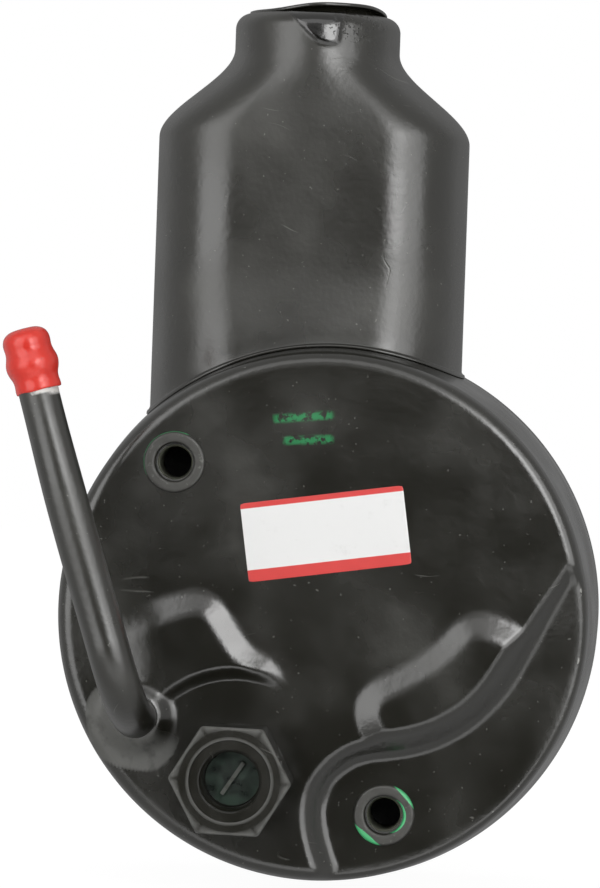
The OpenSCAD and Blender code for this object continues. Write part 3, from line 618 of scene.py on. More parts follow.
@dataclass(frozen=True)
class Metal:
    """Bare machined metal: turning marks across the shaft's axis and a thin oil stain."""

    name: str
    bright: Colour
    stain: Colour
    rough: float = 0.3
    lines: float = 0.00001

    def make(self) -> bpy.types.Material:
        """Build the material from fine rings along Y and a cloudy stain.

        Returns:
            The finished material.
        """
        board = Board(self.name)
        rings = board.noise(1.0, 3.0, (160.0, 5200.0, 160.0))
        cloud = board.noise(70.0, 4.0)
        colour = board.mix(board.range(cloud, 0.5, 0.75, 0.0, 0.6), self.bright, self.stain)
        rough = board.range(board.calc("ADD", rings, cloud), 0.7, 1.3, self.rough - 0.07, self.rough + 0.1)
        return board.finish(Base_Color=colour, Roughness=rough, Metallic=1.0, Normal=board.bump(rings, self.lines))


@dataclass(frozen=True)
class Rubber:
    """Moulded rubber with a dull bloom and fine grain."""

    name: str
    dark: Colour
    bloom: Colour
    rough: float = 0.6

    def make(self) -> bpy.types.Material:
        """Build the material from a fine grain and a cloudy bloom.

        Returns:
            The finished material.
        """
        board = Board(self.name)
        grain = board.noise(1500.0, 2.0)
        cloud = board.noise(160.0, 3.0)
        colour = board.mix(board.range(cloud, 0.45, 0.75, 0.0, 0.5), self.dark, self.bloom)
        rough = board.range(cloud, 0.3, 0.7, self.rough - 0.08, self.rough + 0.1)
        return board.finish(Base_Color=colour, Roughness=rough, Normal=board.bump(grain, 0.00004))


@dataclass(frozen=True)
class OversprayedSeal:
    """Green seal rubber under black overspray that left a few slivers bare."""

    name: str
    paint: Colour = (0.0096, 0.0092, 0.0062)
    rubber: Colour = (0.045, 0.42, 0.15)
    dust: Colour = (0.12, 0.125, 0.11)

    def make(self) -> bpy.types.Material:
        """Build the material: the mark bare, with a ragged edge, shows the rubber's green, real slivers on one seal and
        a painted highlight line on the other.

        Returns:
            The finished material.
        """
        board = Board(self.name)
        ragged = board.calc("MULTIPLY", board.calc("SUBTRACT", board.noise(700.0, 4.0), 0.5), 0.5)
        # mark bare: real rubber slivers, and on the upper seal a painted highlight line
        bare = board.range(board.calc("ADD", board.mark("bare"), ragged), 0.46, 0.54)
        flecks = board.range(board.noise(950.0, 3.0), 0.62, 0.72, 0.0, 0.5)
        painted = board.mix(flecks, self.paint, self.dust)
        colour = board.mix(bare, painted, self.rubber)
        lump = board.noise(520.0, 4.0)
        return board.finish(Base_Color=colour, Roughness=board.range(lump, 0.3, 0.7, 0.4, 0.6),
                            Normal=board.bump(lump, 0.00016))


@dataclass(frozen=True)
class SoftVinyl:
    """Dipped vinyl: a glossy skin with slow waves, paler in places, and scuffs."""

    name: str
    deep: Colour = (0.68, 0.032, 0.02)
    pale: Colour = (0.74, 0.05, 0.034)

    def make(self) -> bpy.types.Material:
        """Build the material from slow waves, fine grain and a few dark scuffs.

        Returns:
            The finished material.
        """
        board = Board(self.name)
        wave = board.noise(190.0, 2.0)
        grain = board.noise(2200.0, 2.0)
        scuff = board.range(board.noise(420.0, 3.0), 0.7, 0.76, 0.0, 0.6)
        colour = board.mix(scuff, board.mix(board.range(wave, 0.3, 0.7), self.deep, self.pale), (0.2, 0.03, 0.03))
        normal = board.bump(wave, 0.00006, under=board.bump(grain, 0.00002))
        return board.finish(Base_Color=colour, Roughness=board.range(wave, 0.3, 0.7, 0.2, 0.28), Normal=normal,
                            Specular_IOR_Level=0.3)


@dataclass(frozen=True)
class PlugPlastic:
    """Dark green plastic with a painted highlight along the top of its standing rib."""

    name: str
    dark: Colour = (0.002, 0.01, 0.0045)
    bright: Colour = (0.004, 0.028, 0.012)
    rib_highlight: Colour = (0.13, 0.14, 0.12)
    rib_highlight_w: Span = (0.1088, 0.1092)

    def make(self) -> bpy.types.Material:
        """Build the material: a cloudy green, and a pale painted highlight above a depth along -Y, on the rib's top.

        Returns:
            The finished material.
        """
        board = Board(self.name)
        cloud = board.noise(260.0, 3.0)
        depth = board.calc("MULTIPLY", board.node("ShaderNodeSeparateXYZ", {0: board.place}).outputs[1], -1.0)
        colour = board.mix(board.range(cloud, 0.4, 0.7), self.dark, self.bright)
        # painted highlight: pale colour on the rib's top, above a depth along -Y
        colour = board.mix(board.range(depth, *self.rib_highlight_w), colour, self.rib_highlight)
        return board.finish(Base_Color=colour, Roughness=board.range(cloud, 0.3, 0.7, 0.25, 0.4))


@dataclass(frozen=True)
class PrintedLabel:
    """Blank gloss label: white film with plain bands along its top and foot."""

    name: str
    film: Colour = (0.84, 0.84, 0.83)
    band: Colour = (0.66, 0.035, 0.03)
    smudge: Colour = (0.6, 0.6, 0.58)

    def make(self) -> bpy.types.Material:
        """Build the material: bands by the height in the label's own flat place, and a few smudges.

        Returns:
            The finished material.
        """
        board = Board(self.name)
        place = board.node("ShaderNodeUVMap", {}, uv_map="place").outputs[0]
        height = board.node("ShaderNodeSeparateXYZ", {0: place}).outputs[1]
        top = board.range(height, 0.925, 0.935)
        foot = board.range(height, 0.145, 0.155, 1.0, 0.0)
        dirt = board.range(board.noise(330.0, 5.0), 0.6, 0.8, 0.0, 0.35)
        film = board.mix(dirt, self.film, self.smudge)
        colour = board.mix(board.calc("MAXIMUM", top, foot), film, self.band)
        wrinkle = board.noise(210.0, 2.0)
        return board.finish(Base_Color=colour, Roughness=0.34, Normal=board.bump(wrinkle, 0.00006))


@dataclass(frozen=True)
class Finishes:
    """All materials of the pump, made once."""

    can: bpy.types.Material
    neck: bpy.types.Material
    tube: bpy.types.Material
    fittings: bpy.types.Material
    casting: bpy.types.Material
    steel: bpy.types.Material
    thread: bpy.types.Material
    dark_steel: bpy.types.Material
    bronze: bpy.types.Material
    rubber: bpy.types.Material
    seals: bpy.types.Material
    plug: bpy.types.Material
    vinyl: bpy.types.Material
    label: bpy.types.Material

    @classmethod
    def make(cls) -> "Finishes":
        """Build every material of the pump.

        Returns:
            The set of materials.
        """
        return cls(
            can=SatinPaint("can_black_paint", marked=True).make(),
            neck=SatinPaint("neck_black_paint", marked=True, rough=0.28).make(),
            tube=SatinPaint("tube_black_paint", marked=True, rough=0.31, braze=(0.62, 0.61, 0.58)).make(),
            fittings=SatinPaint("fitting_black_paint", marked=True, rough=0.22, peel=0.00007).make(),
            casting=CastPaint("cast_black_paint").make(),
            steel=Metal("ground_steel", (0.56, 0.57, 0.58), (0.33, 0.31, 0.28)).make(),
            thread=Metal("tapped_iron", (0.2, 0.205, 0.17), (0.11, 0.115, 0.09), rough=0.4).make(),
            dark_steel=Metal("sintered_steel", (0.36, 0.36, 0.37), (0.2, 0.19, 0.18), rough=0.42).make(),
            bronze=Metal("bearing_bronze", (0.52, 0.36, 0.17), (0.3, 0.2, 0.1), rough=0.35).make(),
            rubber=Rubber("black_seal_rubber", (0.014, 0.014, 0.014), (0.045, 0.045, 0.043)).make(),
            seals=OversprayedSeal("oversprayed_green_seal").make(),
            plug=PlugPlastic("green_plug_plastic").make(),
            vinyl=SoftVinyl("red_cap_vinyl").make(),
            label=PrintedLabel("blank_label_film").make(),
        )


# Sub-assemblies


@dataclass
class ReservoirCan:
    """Pressed can: rear face with lobes, step, boss and pad, rounded rim, wall and lip.

    Attributes:
        rim_r: Radius of the wall at the rim.
        body_r: Radius of the wall at the mouth.
        rear_w: Depth of the rear face's main plane.
        mouth_w: Depth of the mouth.
        taper: Length over which the wall narrows.
        edge: Radius of the rim's round.
        low_edge: Radius of that round where the face is sunk.
        sheet: Thickness of the sheet.
        flare: Widening of the lip.
        lobe_rise: Height of the lobes.
        lobe_slope: Width of the lobes' slopes.
        step_drop: Depth of the sunk crescent.
        step_slope: Width of the step's wall.
        foot: Place of the tube's foot.
        foot_r: Radius of the boss there.
        foot_top_r: Radius of the boss's top.
        foot_h: Height of the boss.
        port: Place of the outlet port.
        pad_r: Radius of the pad under the hexagon.
        pad_h: Height of that pad.
        seat_r: Radius of the flat seat round the port.
        seat_blend: Start inside that radius and length of the rise to the left lobe.
        left_end: Place and length of the left lobe's run-out.
        foot_blend: Height over which the boss runs into the face.
        step_round: Height over which the step's edges are rounded.
        step_climb: Share, start and length of the climb of the crescent's upper end.
        stud_hole_r: Radius of the stud holes.
        port_hole_r: Radius of the port's hole.
        tube_hole_r: Radius of the tube's hole.
        neck_hole: Middle, depth, half straight and end radius of the hole under the neck.
        chip_and_highlight_r: Radius of the line of chips and painted highlight on the sunk rim.
        strokes: Middle, half length and lean of the strokes of ink.
        studs: Places of the studs.
        columns: Points round the can.
        face_rows: Rows on the rear face.
        left_lobe: Outline of the left lobe.
        right_lobe: Outline of the right lobe.
        step_edge: Outline of the sunk crescent.
    """

    rim_r: float = 63.5
    body_r: float = 66.1
    rear_w: float = 104.0
    mouth_w: float = 16.0
    taper: float = 36.0
    edge: float = 3.5
    low_edge: float = 2.4
    sheet: float = 1.6
    flare: float = 0.3
    lobe_rise: float = 1.7
    lobe_slope: float = 5.6
    step_drop: float = 4.4
    step_slope: float = 6.2
    foot: Flat = (-43.2, -25.6)
    foot_r: float = 12.5
    foot_top_r: float = 5.4
    foot_h: float = 3.0
    port: Flat = (-19.6, -39.2)
    pad_r: float = 12.2
    pad_h: float = 0.3
    seat_r: float = 24.0
    seat_blend: Span = (1.2, 4.2)
    left_end: Span = (-51.0, 11.5)
    foot_blend: float = 2.0
    step_round: float = 1.5
    step_climb: tuple[float, float, float] = (0.7, -14.0, 36.0)
    stud_hole_r: float = 6.8
    port_hole_r: float = 10.2
    tube_hole_r: float = 4.3
    neck_hole: tuple[float, float, float, float] = (-7.8, 63.5, 16.0, 17.5)
    chip_and_highlight_r: float = 62.3
    strokes: tuple[tuple[float, float, float, float], ...] = ((-6.0, 47.4, 7.6, 0.1), (-4.6, 42.0, 6.4, 0.07))
    studs: tuple[Flat, ...] = ((-36.5, 35.6), (16.4, -47.2))
    columns: int = 540
    face_rows: int = 136
    left_lobe: tuple[Flat, ...] = (
        (-48.4, -21), (-43.6, -29.8), (-36, -38.4), (-28, -44.8), (-19, -49.2), (-12, -51.4), (-8.4, -48),
        (-7.6, -41), (-8, -31), (-13, -22), (-13.6, -15.9), (-18, -13.6), (-22, -10), (-25.8, -4.2),
        (-28.6, -0.2), (-33, -1), (-39, -3.2), (-45.5, -7), (-51, -12))
    right_lobe: tuple[Flat, ...] = (
        (20, -30.5), (27, -33), (36, -30), (45, -22), (49.5, -13), (47, -7), (42.7, -4.8), (39.4, -3.6),
        (36.2, -3.8), (33.7, -7), (30.1, -10.7), (24.7, -14.6), (19.6, -17.5), (15.2, -19.8), (14.2, -22.6),
        (16, -26.6))
    step_edge: tuple[Flat, ...] = (
        (67.5, 27.5), (63.2, 19), (58.6, 10), (54.6, 2.4), (51.4, -4.4), (48.1, -11), (44.7, -17), (40.3, -22.3),
        (35.9, -26.1), (30, -29.6), (24.2, -31.8), (17.8, -33.1), (12.5, -33.7), (8.3, -35.3), (4.1, -38.9),
        (2, -43), (1.4, -47.5), (2.3, -52.6), (4.1, -58), (6.6, -64), (12, -76), (60, -76), (86, -40), (86, 20))

    def wall_r(self, w: np.ndarray) -> np.ndarray:
        """Give the wall's radius at a depth: level at the mouth, narrowing towards the rim, with a flared lip.

        Args:
            w: Depths.

        Returns:
            The radii there.
        """
        top = self.rear_w - self.edge
        taper = np.clip((w - top + self.taper) / self.taper, 0.0, 1.4)
        lip = smoothstep((self.mouth_w + 3.0 - w) / 3.0)
        return self.body_r - (self.body_r - self.rim_r) * taper + self.flare * lip

    def height(self, x: np.ndarray, z: np.ndarray) -> np.ndarray:
        """Give the pressed height of the rear face above its main plane.

        Each lobe rises evenly with the distance from its outline, with rounded ends, and the left one ends at the
        flat seat round the port and runs out to the left. The boss at the tube's foot is the higher of the face and a
        dome. The step's floor, which climbs at its upper end, and its sloping wall are the lower of both, with rounds.

        Args:
            x: Sideways places.
            z: Heights in the rear view.

        Returns:
            Heights in millimetres, rearwards.
        """
        left, right, step = (outline_distance(round_off(line, 2, True), x, z)
                             for line in (self.left_lobe, self.right_lobe, self.step_edge))
        at_port, _ = polar(self.port, x, z)
        start, long = self.seat_blend
        seat = smoothstep((at_port - self.seat_r + start) / long)
        start, long = self.left_end
        left_lobe = ramp(1.0 - left / self.lobe_slope) * seat * ramp((x - start) / long)
        face = self.lobe_rise * np.maximum(left_lobe, ramp(1.0 - right / self.lobe_slope))
        face = face + (self.pad_h - face) * smoothstep((self.pad_r - at_port) / 0.8 + 0.5)
        at_foot, turn = polar(self.foot, x, z)
        reach = self.foot_r * (0.92 + 0.015 * ripple(turn, 4) + 0.06 * np.cos(turn + 2.2))
        dome = smoothstep((at_foot - self.foot_top_r + 0.6) / (reach - self.foot_top_r + 0.6))
        boss = (self.foot_h + self.foot_blend) * (1.0 - dome) - self.foot_blend
        face = soft_max(face, boss, self.foot_blend)
        steep = (self.step_drop + self.lobe_rise + 0.4) / self.step_slope
        share, start, long = self.step_climb
        drop = self.step_drop * (1.0 - share * smoothstep((z - start) / long))
        wall = soft_max(np.zeros_like(step), step * steep, self.step_round) - drop
        return soft_min(face, wall, self.step_round)

    def surface(self) -> Surface:
        """Work out the can's skin.

        Rows run from the middle of the rear face to its edge, over the rounded rim, down the wall to the mouth and
        a little way back inside. Columns run round the shaft's axis.

        Returns:
            The skin, with cells left out at the holes and under the neck.
        """
        angle = circle(self.columns)
        flat_r = self.rim_r - self.edge
        face_r = np.linspace(0.0, flat_r, self.face_rows)[:, None]
        rows = np.broadcast_to(face_r, (self.face_rows, self.columns))
        x, z = rows * np.cos(angle), rows * np.sin(angle)
        high = self.height(x, z)
        brim = high[-1:]
        sunk = smoothstep(-brim / self.step_drop)
        edge = self.edge + (self.low_edge - self.edge) * sunk
        edge_w = self.rear_w + brim - edge
        edge_r = self.wall_r(edge_w)
        roll = np.linspace(0.0, 0.5 * math.pi, 10)[1:, None]
        rim_r = edge_r - edge + edge * np.sin(roll)
        rim_w = edge_w + edge * np.cos(roll)
        down = np.linspace(0.0, 1.0, 22)[1:, None]
        wall_w = edge_w + (self.mouth_w + 3.0 - edge_w) * down
        lip_w = self.mouth_w + np.array([2.4, 1.8, 1.2, 0.6, 0.0])[:, None] + 0.0 * angle
        inner = np.array([[0.5, 0.0], [1.3, 0.3], [2.0, 2.6], [2.6, 4.0], [2.6, 14.0], [2.6, 40.0]])
        inner_r = self.body_r + self.flare - inner[:, :1] + 0.0 * angle
        inner_w = self.mouth_w + inner[:, 1:] + 0.0 * angle
        radius = np.concatenate([rows, rim_r, self.wall_r(wall_w), self.wall_r(lip_w), inner_r])
        depth = np.concatenate([self.rear_w + high, rim_w, wall_w, lip_w, inner_w])
        up = radius * np.sin(angle)
        side = radius * np.cos(angle)
        skin = Surface(rear(side, up, depth))
        skin.marks = self.marks(side, up, depth)
        skin.keep = self.open_cells(skin.centres())
        return skin

    def open_cells(self, middle: np.ndarray) -> np.ndarray:
        """Tell which cells stay: all but those in the stud holes, the port, the tube's hole and under the neck.

        Args:
            middle: Middles of the cells.

        Returns:
            True for each cell that stays.
        """
        x, w, z = middle[..., 0], -middle[..., 1], middle[..., 2]
        back = w > self.rear_w - 14.0
        hole = np.zeros(x.shape, dtype=bool)
        holes = [(stud, self.stud_hole_r) for stud in self.studs]
        for place, r in (*holes, (self.port, self.port_hole_r), (self.foot, self.tube_hole_r)):
            hole |= back & (polar(place, x, z)[0] < r)
        neck_x, neck_w, half, r = self.neck_hole
        neck = (np.hypot(np.maximum(np.abs(x - neck_x) - half, 0.0), w - neck_w) < r) & (z > 0.0)
        return ~(hole | neck)

    def marks(self, x: np.ndarray, z: np.ndarray, w: np.ndarray) -> dict[str, np.ndarray]:
        """Give the paint its marks: braze round the tube's foot, chips with a painted highlight along the sunk rim and
        two strokes of ink.

        Args:
            x: Sideways places.
            z: Heights.
            w: Depths.

        Returns:
            The marks by name, from 0 to 1.
        """
        at_foot, turn = polar(self.foot, x, z)
        below = smoothstep(0.45 - 1.4 * np.cos(turn - 0.96))
        patch = smoothstep((self.foot_r + 0.4 + 1.3 * ripple(turn, 9) - at_foot) / 0.5)
        braze = below * patch * (w > self.rear_w - 9.0)
        radius, around = polar((0.0, 0.0), x, z)
        around = np.degrees(around)
        # chips and a painted highlight: a pale line along the sunk rim, on its right side only
        chip_and_highlight = smoothstep(1.0 - np.abs(radius - self.chip_and_highlight_r) / 0.45) * smoothstep((28.0 - around) / 8.0)
        chip_and_highlight = chip_and_highlight * smoothstep((around + 66.0) / 12.0) * (w > self.rear_w - 7.0)
        ink = np.zeros_like(x)
        for cx, cz, long, lean in self.strokes:
            u = (x - cx) * math.cos(lean) + (z - cz) * math.sin(lean)
            v = (z - cz) * math.cos(lean) - (x - cx) * math.sin(lean)
            stroke = smoothstep((long - np.abs(u)) / 1.2) * smoothstep((1.25 - np.abs(v)) / 0.7)
            ink = np.maximum(ink, stroke * (w > self.rear_w - 1.0))
        return {"braze": braze, "ink": ink, "chip_and_highlight": chip_and_highlight}

    def build(self, finishes: Finishes) -> None:
        """Make the can and let it stand for its CAD node."""
        piece = self.surface().build("can_pressing", finishes.can)
        settle(piece, Body.PUMP, Slot.BLACK_PAINT, "reservoir_can")


@dataclass
class FillerNeck:
    """Brazed neck: saddle flange, flared foot, rounded body, shoulder, round filler and drip of paint."""

    can: ReservoirCan
    x: float = -7.8
    w: float = 63.5
    wide: float = 76.6
    deep: float = 41.6
    flare: float = 1.6
    filler_r: float = 20.3
    shoulder_z: float = 115.5
    filler_z: float = 137.5
    top_z: float = 146.3
    edge: float = 3.7
    flange: float = 0.8
    flange_t: float = 0.8
    sheet: float = 1.6
    arc_columns: int = 84
    flat_columns: int = 76
    facet: float = 20.0
    drip_deep: float = 9.0
    drip_edge: float = 1.9
    drip_thick: float = 0.5

    def columns(self) -> np.ndarray:
        """List the columns round the neck.

        Returns:
            Rows of arc angle, share along the flat and angle on the round filler, as one row of three for each
            column. The flats end as facets of the filler.
        """
        arc = (np.arange(self.arc_columns) + 0.5) / self.arc_columns
        flat = (np.arange(self.flat_columns) + 0.5) / self.flat_columns
        facet = math.radians(self.facet)
        sides = []
        for turn, end in ((0.0, 1.0), (math.pi, -1.0)):
            sides.append(np.stack([turn + math.pi * (arc - 0.5), end + 0.0 * arc,
                                   turn + (math.pi - 2.0 * facet) * (arc - 0.5)]))
            sides.append(np.stack([turn + 0.5 * math.pi + 0.0 * flat, end * (1.0 - 2.0 * flat),
                                   turn + 0.5 * math.pi + facet * (2.0 * flat - 1.0)]))
        return np.concatenate(sides, axis=1)[:, None]

    def ring(self, z: np.ndarray, grow: np.ndarray, columns: np.ndarray) -> tuple[np.ndarray, np.ndarray]:
        """Give the neck's outline at a height, as a racetrack that turns into a circle over the shoulder.

        Args:
            z: Heights.
            grow: Widening of the outline.
            columns: Places round the neck.

        Returns:
            The sideways place and the depth of each point.
        """
        angle, flat, turn = columns
        s = smoothstep((z - self.shoulder_z) / (self.filler_z - self.shoulder_z))
        b = self.deep / 2 + self.flare * (1.0 - smoothstep((z - self.can.rim_r + 1.0) / 21.0)) + grow
        half = self.wide / 2 + grow - b
        r = self.filler_r + grow
        x = (1.0 - s) * (half * flat + b * np.cos(angle)) + s * r * np.cos(turn)
        y = (1.0 - s) * b * np.sin(angle) + s * r * np.sin(turn)
        return self.x + x, self.w - y

    def on_wall(self, grow: np.ndarray, lift: np.ndarray, columns: np.ndarray) -> tuple[np.ndarray, ...]:
        """Find where the outline meets the can's wall, lifted by a distance, in three rounds of search.

        Args:
            grow: Widening of the outline.
            lift: Distance above the can's wall.
            columns: Places round the neck.

        Returns:
            Sideways places, depths and heights.
        """
        z = np.full(np.broadcast(grow, columns[0]).shape, self.can.rim_r)
        for _ in range(3):
            x, w = self.ring(z, grow, columns)
            z = np.sqrt((self.can.wall_r(w) + lift) ** 2 - x ** 2)
        return x, w, z

    def surface(self) -> Surface:
        """Work out the neck's skin.

        Rows run from the flange's edge on the can's wall over its fillet, up the body, over the shoulder to the
        rounded top edge, in to the mouth and back down inside, one sheet thickness in.

        Returns:
            The skin with its drip of wet paint.
        """
        columns = self.columns()
        level = 0.0 * columns[0]
        t = self.flange_t
        bend = np.linspace(0.0, 0.5 * math.pi, 5)[:, None]
        grow = np.concatenate([self.flange - np.array([[0.12], [0.02], [0.0], [0.05], [0.2]]),
                               0.4 - 0.4 * np.sin(bend)])
        lift = np.concatenate([np.array([[0.1], [0.2], [t * 0.6], [t * 0.9], [t]]), t + 0.4 - 0.4 * np.cos(bend)])
        foot_x, foot_w, foot_z = self.on_wall(grow, lift, columns)
        start = foot_z[-1:]
        share = np.linspace(0.0, 1.0, 27)[1:, None]
        body_z = start + (self.shoulder_z - start) * share
        over_z = np.linspace(self.shoulder_z, self.filler_z, 33)[1:, None] + level
        neck_z = np.linspace(self.filler_z, self.top_z - self.edge, 16)[1:, None] + level
        curl = np.linspace(0.0, 0.5 * math.pi, 14)[1:, None]
        curl_z = self.top_z - self.edge + self.edge * np.sin(curl) + level
        curl_grow = -self.edge * (1.0 - np.cos(curl)) + level
        in_z = np.array([self.top_z, self.top_z - 0.2, self.top_z - 1.4, self.top_z - 1.7])[:, None] + level
        in_grow = np.array([-4.9, -5.1, -5.1, -4.0])[:, None] + level
        back_z = self.top_z - 2.0 + (start - self.top_z + 2.0) * np.linspace(0.0, 1.0, 26)[:, None]
        back_grow = -self.sheet + 0.0 * back_z
        z = np.concatenate([body_z, over_z, neck_z, curl_z, in_z, back_z])
        plain = np.zeros_like(np.concatenate([body_z, over_z, neck_z]))
        x, w = self.ring(z, np.concatenate([plain, curl_grow, in_grow, back_grow]), columns)
        x, w, z = (np.concatenate(pair) for pair in ((foot_x, x), (foot_w, w), (foot_z, z)))
        wet = self.drip(x, w, z)
        near = smoothstep(1.2 - np.hypot((x - 2.6) / 6.5, (z - 143.4) / 4.2)) * (w > self.w + 8.0)
        w = w + self.drip_thick * wet
        skin = Surface(rear(x, z, w))
        skin.marks = {"wet": wet, "froth": near}
        return skin

    def drip(self, x: np.ndarray, w: np.ndarray, z: np.ndarray) -> np.ndarray:
        """Give the share of the paint drip: 1 between a slanting left side, a steep right side and a round foot.

        Args:
            x: Sideways places.
            w: Depths.
            z: Heights.

        Returns:
            The share at each point, from 0 to 1.
        """
        fall = self.top_z - z
        left = x + 15.4 - 0.95 * fall
        right = 0.4 - x - 0.14 * fall
        foot = self.drip_deep - fall - 0.05 * (x + 3.4) ** 2
        inside = soft_min(soft_min(left, right, 1.2), foot, 1.2)
        return smoothstep(inside / self.drip_edge) * (w > self.w + 10.0) * (fall > -0.01)

    def build(self, finishes: Finishes) -> None:
        """Make the neck and let it stand for its CAD node."""
        piece = self.surface().build("neck_pressing", finishes.neck)
        settle(piece, Body.PUMP, Slot.BLACK_PAINT, "filler_neck")


@dataclass
class FillerCollar:
    """Bayonet collar in the neck's mouth: a thin rim that climbs and falls twice round, as two cam ramps."""

    neck: FillerNeck
    bore_r: float = 14.2
    sleeve_r: float = 15.1
    rim_r: float = 16.9
    sleeve: float = 8.0
    low: float = 0.6
    high: float = 2.4
    peak: float = -62.0
    columns: int = 240

    def surface(self) -> Surface:
        """Work out the collar as a closed profile turned round the neck's axis.

        The rim's upper side follows a cosine of twice the direction, so that one ramp peaks at the rear right and the
        other at the front left. The sleeve below it stays level.

        Returns:
            The collar's surface.
        """
        r0, r1, r2 = self.bore_r, self.sleeve_r, self.rim_r
        profile = np.array([
            (r0, -self.sleeve, 0.0), (r1, -self.sleeve, 0.0), (r1, -0.6, 0.0), (r1, -0.95, 1.0),
            (r2 - 0.35, -0.95, 1.0), (r2 - 0.1, -0.85, 1.0), (r2, -0.6, 1.0), (r2, -0.35, 1.0), (r2 - 0.1, -0.1, 1.0),
            (r2 - 0.35, 0.0, 1.0), (r0 + 0.45, 0.0, 1.0), (r0 + 0.12, -0.12, 1.0), (r0, -0.45, 1.0), (r0, -1.4, 1.0)])
        angle = circle(self.columns)
        ramps = smoothstep(0.5 + 0.5 * np.cos(2.0 * (angle - math.radians(self.peak))))
        rim = self.low + (self.high - self.low) * ramps
        height = profile[:, 1:2] + profile[:, 2:] * rim
        axis = Axis((self.neck.x, -self.neck.w, self.neck.top_z), (0.0, 0.0, 1.0), (1.0, 0.0, 0.0))
        return Surface(axis.turn(profile[:, :1], height, angle), ring_rows=True)

    def build(self, finishes: Finishes) -> None:
        """Make the collar and let it stand for its CAD node."""
        piece = self.surface().build("bayonet_collar", finishes.fittings)
        settle(piece, Body.PUMP, Slot.BLACK_PAINT, "filler_collar")


@dataclass
class ReturnTube:
    """Bent return tube with a bead near its open tip, and the red cap pushed over it."""

    can: ReservoirCan
    r: float = 4.7625
    wall: float = 0.9
    start_w: float = 100.1
    bend_w: float = 111.5
    bend_r: float = 19.0
    lean: float = 17.0
    run: float = 74.5
    bead: float = 0.8
    bow: float = -0.35
    sag: float = 1.1
    swell: float = 0.06
    sides: int = 48
    cap_columns: int = 120

    def direction(self) -> np.ndarray:
        """Give the direction of the straight run in the part's frame."""
        a = math.radians(self.lean)
        return np.array([-math.sin(a), 0.0, math.cos(a)])

    def tip(self) -> np.ndarray:
        """Give the middle of the tube's open end."""
        x, z = self.can.foot
        return np.array([x, -self.bend_w - self.bend_r, z]) + (self.bend_r + self.run) * self.direction()

    def surface(self) -> Surface:
        """Work out the tube: a ring carried up from the can, round the bend and along the run, then back inside.

        The run bows sideways by a sine of its length and rearwards by that sine squared, the ring is wider than deep
        through the bend and the lower run, and a bump in the radius makes the bead. Half a ring of bare metal shows
        under the cap's skirt.

        Returns:
            The tube's surface, with both ends open.
        """
        x, z = self.can.foot
        foot = np.array([x, 0.0, z])
        out = np.array([0.0, -1.0, 0.0])
        along = self.direction()
        side = np.cross(along, out)
        rise = np.linspace(self.start_w, self.bend_w, 8)[:-1, None]
        turn = np.linspace(0.0, 0.5 * math.pi, 30)[:, None]
        far = np.linspace(0.0, self.run, 90)[1:, None]
        stem = foot + rise * out
        bend = foot + (self.bend_w + self.bend_r * np.sin(turn)) * out + self.bend_r * (1.0 - np.cos(turn)) * along
        end = foot + (self.bend_w + self.bend_r) * out + (self.bend_r + far) * along
        wave = np.sin(math.pi * far / self.run)
        end = end + self.bow * wave * side + self.sag * wave ** 2 * out
        path = np.concatenate([stem, bend, end])
        length = np.concatenate([np.full(len(rise) + len(turn), -99.0), far[:, 0]]) - self.run
        bead = self.bead * smoothstep(1.0 - np.abs(length + 6.3) / 1.8)
        edge = 0.45 * smoothstep((length + 0.7) / 0.7)
        flat = self.swell * np.concatenate([np.zeros(len(rise)), smoothstep(turn[:, 0] / 0.8),
                                            smoothstep((58.0 - far[:, 0]) / 25.0)])
        skin = sweep(path, self.r + bead - edge, self.sides, side, flat, closed=False)
        bore = sweep(path[::-4], np.full(len(path[::-4]), self.r - self.wall), self.sides, side, None, closed=False)
        bore = bore[:, (-np.arange(self.sides)) % self.sides]
        bore = np.roll(bore, self.sides // 2, axis=1)
        tube = Surface(np.concatenate([skin, bore]))
        tip = (tube.points - self.tip()) @ along
        right = (tube.points - self.tip()) @ side
        tube.marks = {"braze": 2.5 * smoothstep((1.2 + 0.16 * right - np.abs(tip + 12.6)) / 0.4) * (right > -2.0)}
        return tube

    def cap_surface(self) -> Surface:
        """Work out the cap: a rounded profile turned round the tip, with slow waves round it and a ragged skirt.

        Returns:
            The cap's closed surface.
        """
        r = self.r
        profile = round_off([
            (r + 0.08, -13.0), (r + 0.7, -13.0), (r + 0.76, -12.1), (r + 0.6, -10.8), (r + 0.72, -9.6),
            (r + 1.3, -8.3), (r + 1.6, -6.9), (r + 1.5, -5.6), (r + 1.0, -4.2), (r + 0.8, -3.0),
            (r + 0.95, -1.6), (r + 0.85, -0.4), (r + 0.3, 0.8), (r - 1.0, 1.7), (r - 2.6, 2.02), (0.6, 1.95),
            (0.0, 1.95)], 3, False)
        inside = np.array([(0.0, 0.2), (r + 0.02, 0.2), (r + 0.02, -4.6), (r + 0.84, -5.7), (r + 0.84, -6.9),
                           (r + 0.03, -8.1), (r + 0.04, -12.95)])
        line = np.concatenate([profile, inside])
        angle = circle(self.cap_columns)
        outer = np.concatenate([np.ones(len(profile)), np.zeros(len(inside))])[:, None]
        swell = 0.008 * ripple(angle + 0.05 * line[:, 1:], 3) * smoothstep(line[:, :1] / 4.0)
        skirt = 0.3 * ripple(angle, 7) * smoothstep((-11.5 - line[:, 1:]) / 2.0) * outer
        radius = line[:, :1] * (1.0 + swell * outer - 0.012 * outer)
        along = self.direction()
        axis = Axis(tuple(self.tip()), tuple(along), tuple(np.cross(along, (0.0, 1.0, 0.0))))
        return Surface(axis.turn(radius, line[:, 1:] + np.maximum(skirt, -0.05), angle), ring_rows=True)

    def build(self, finishes: Finishes) -> None:
        """Make the tube and its cap and let them stand for their CAD nodes.

        Args:
            finishes: Materials of the pump.
        """
        tube = self.surface().build("bent_tube", finishes.tube)
        settle(tube, Body.PUMP, Slot.BLACK_PAINT, "return_tube")
        cap = self.cap_surface().build("push_on_cap", finishes.vinyl)
        settle(cap, Body.PUMP, Slot.RED_VINYL, "tube_cap")


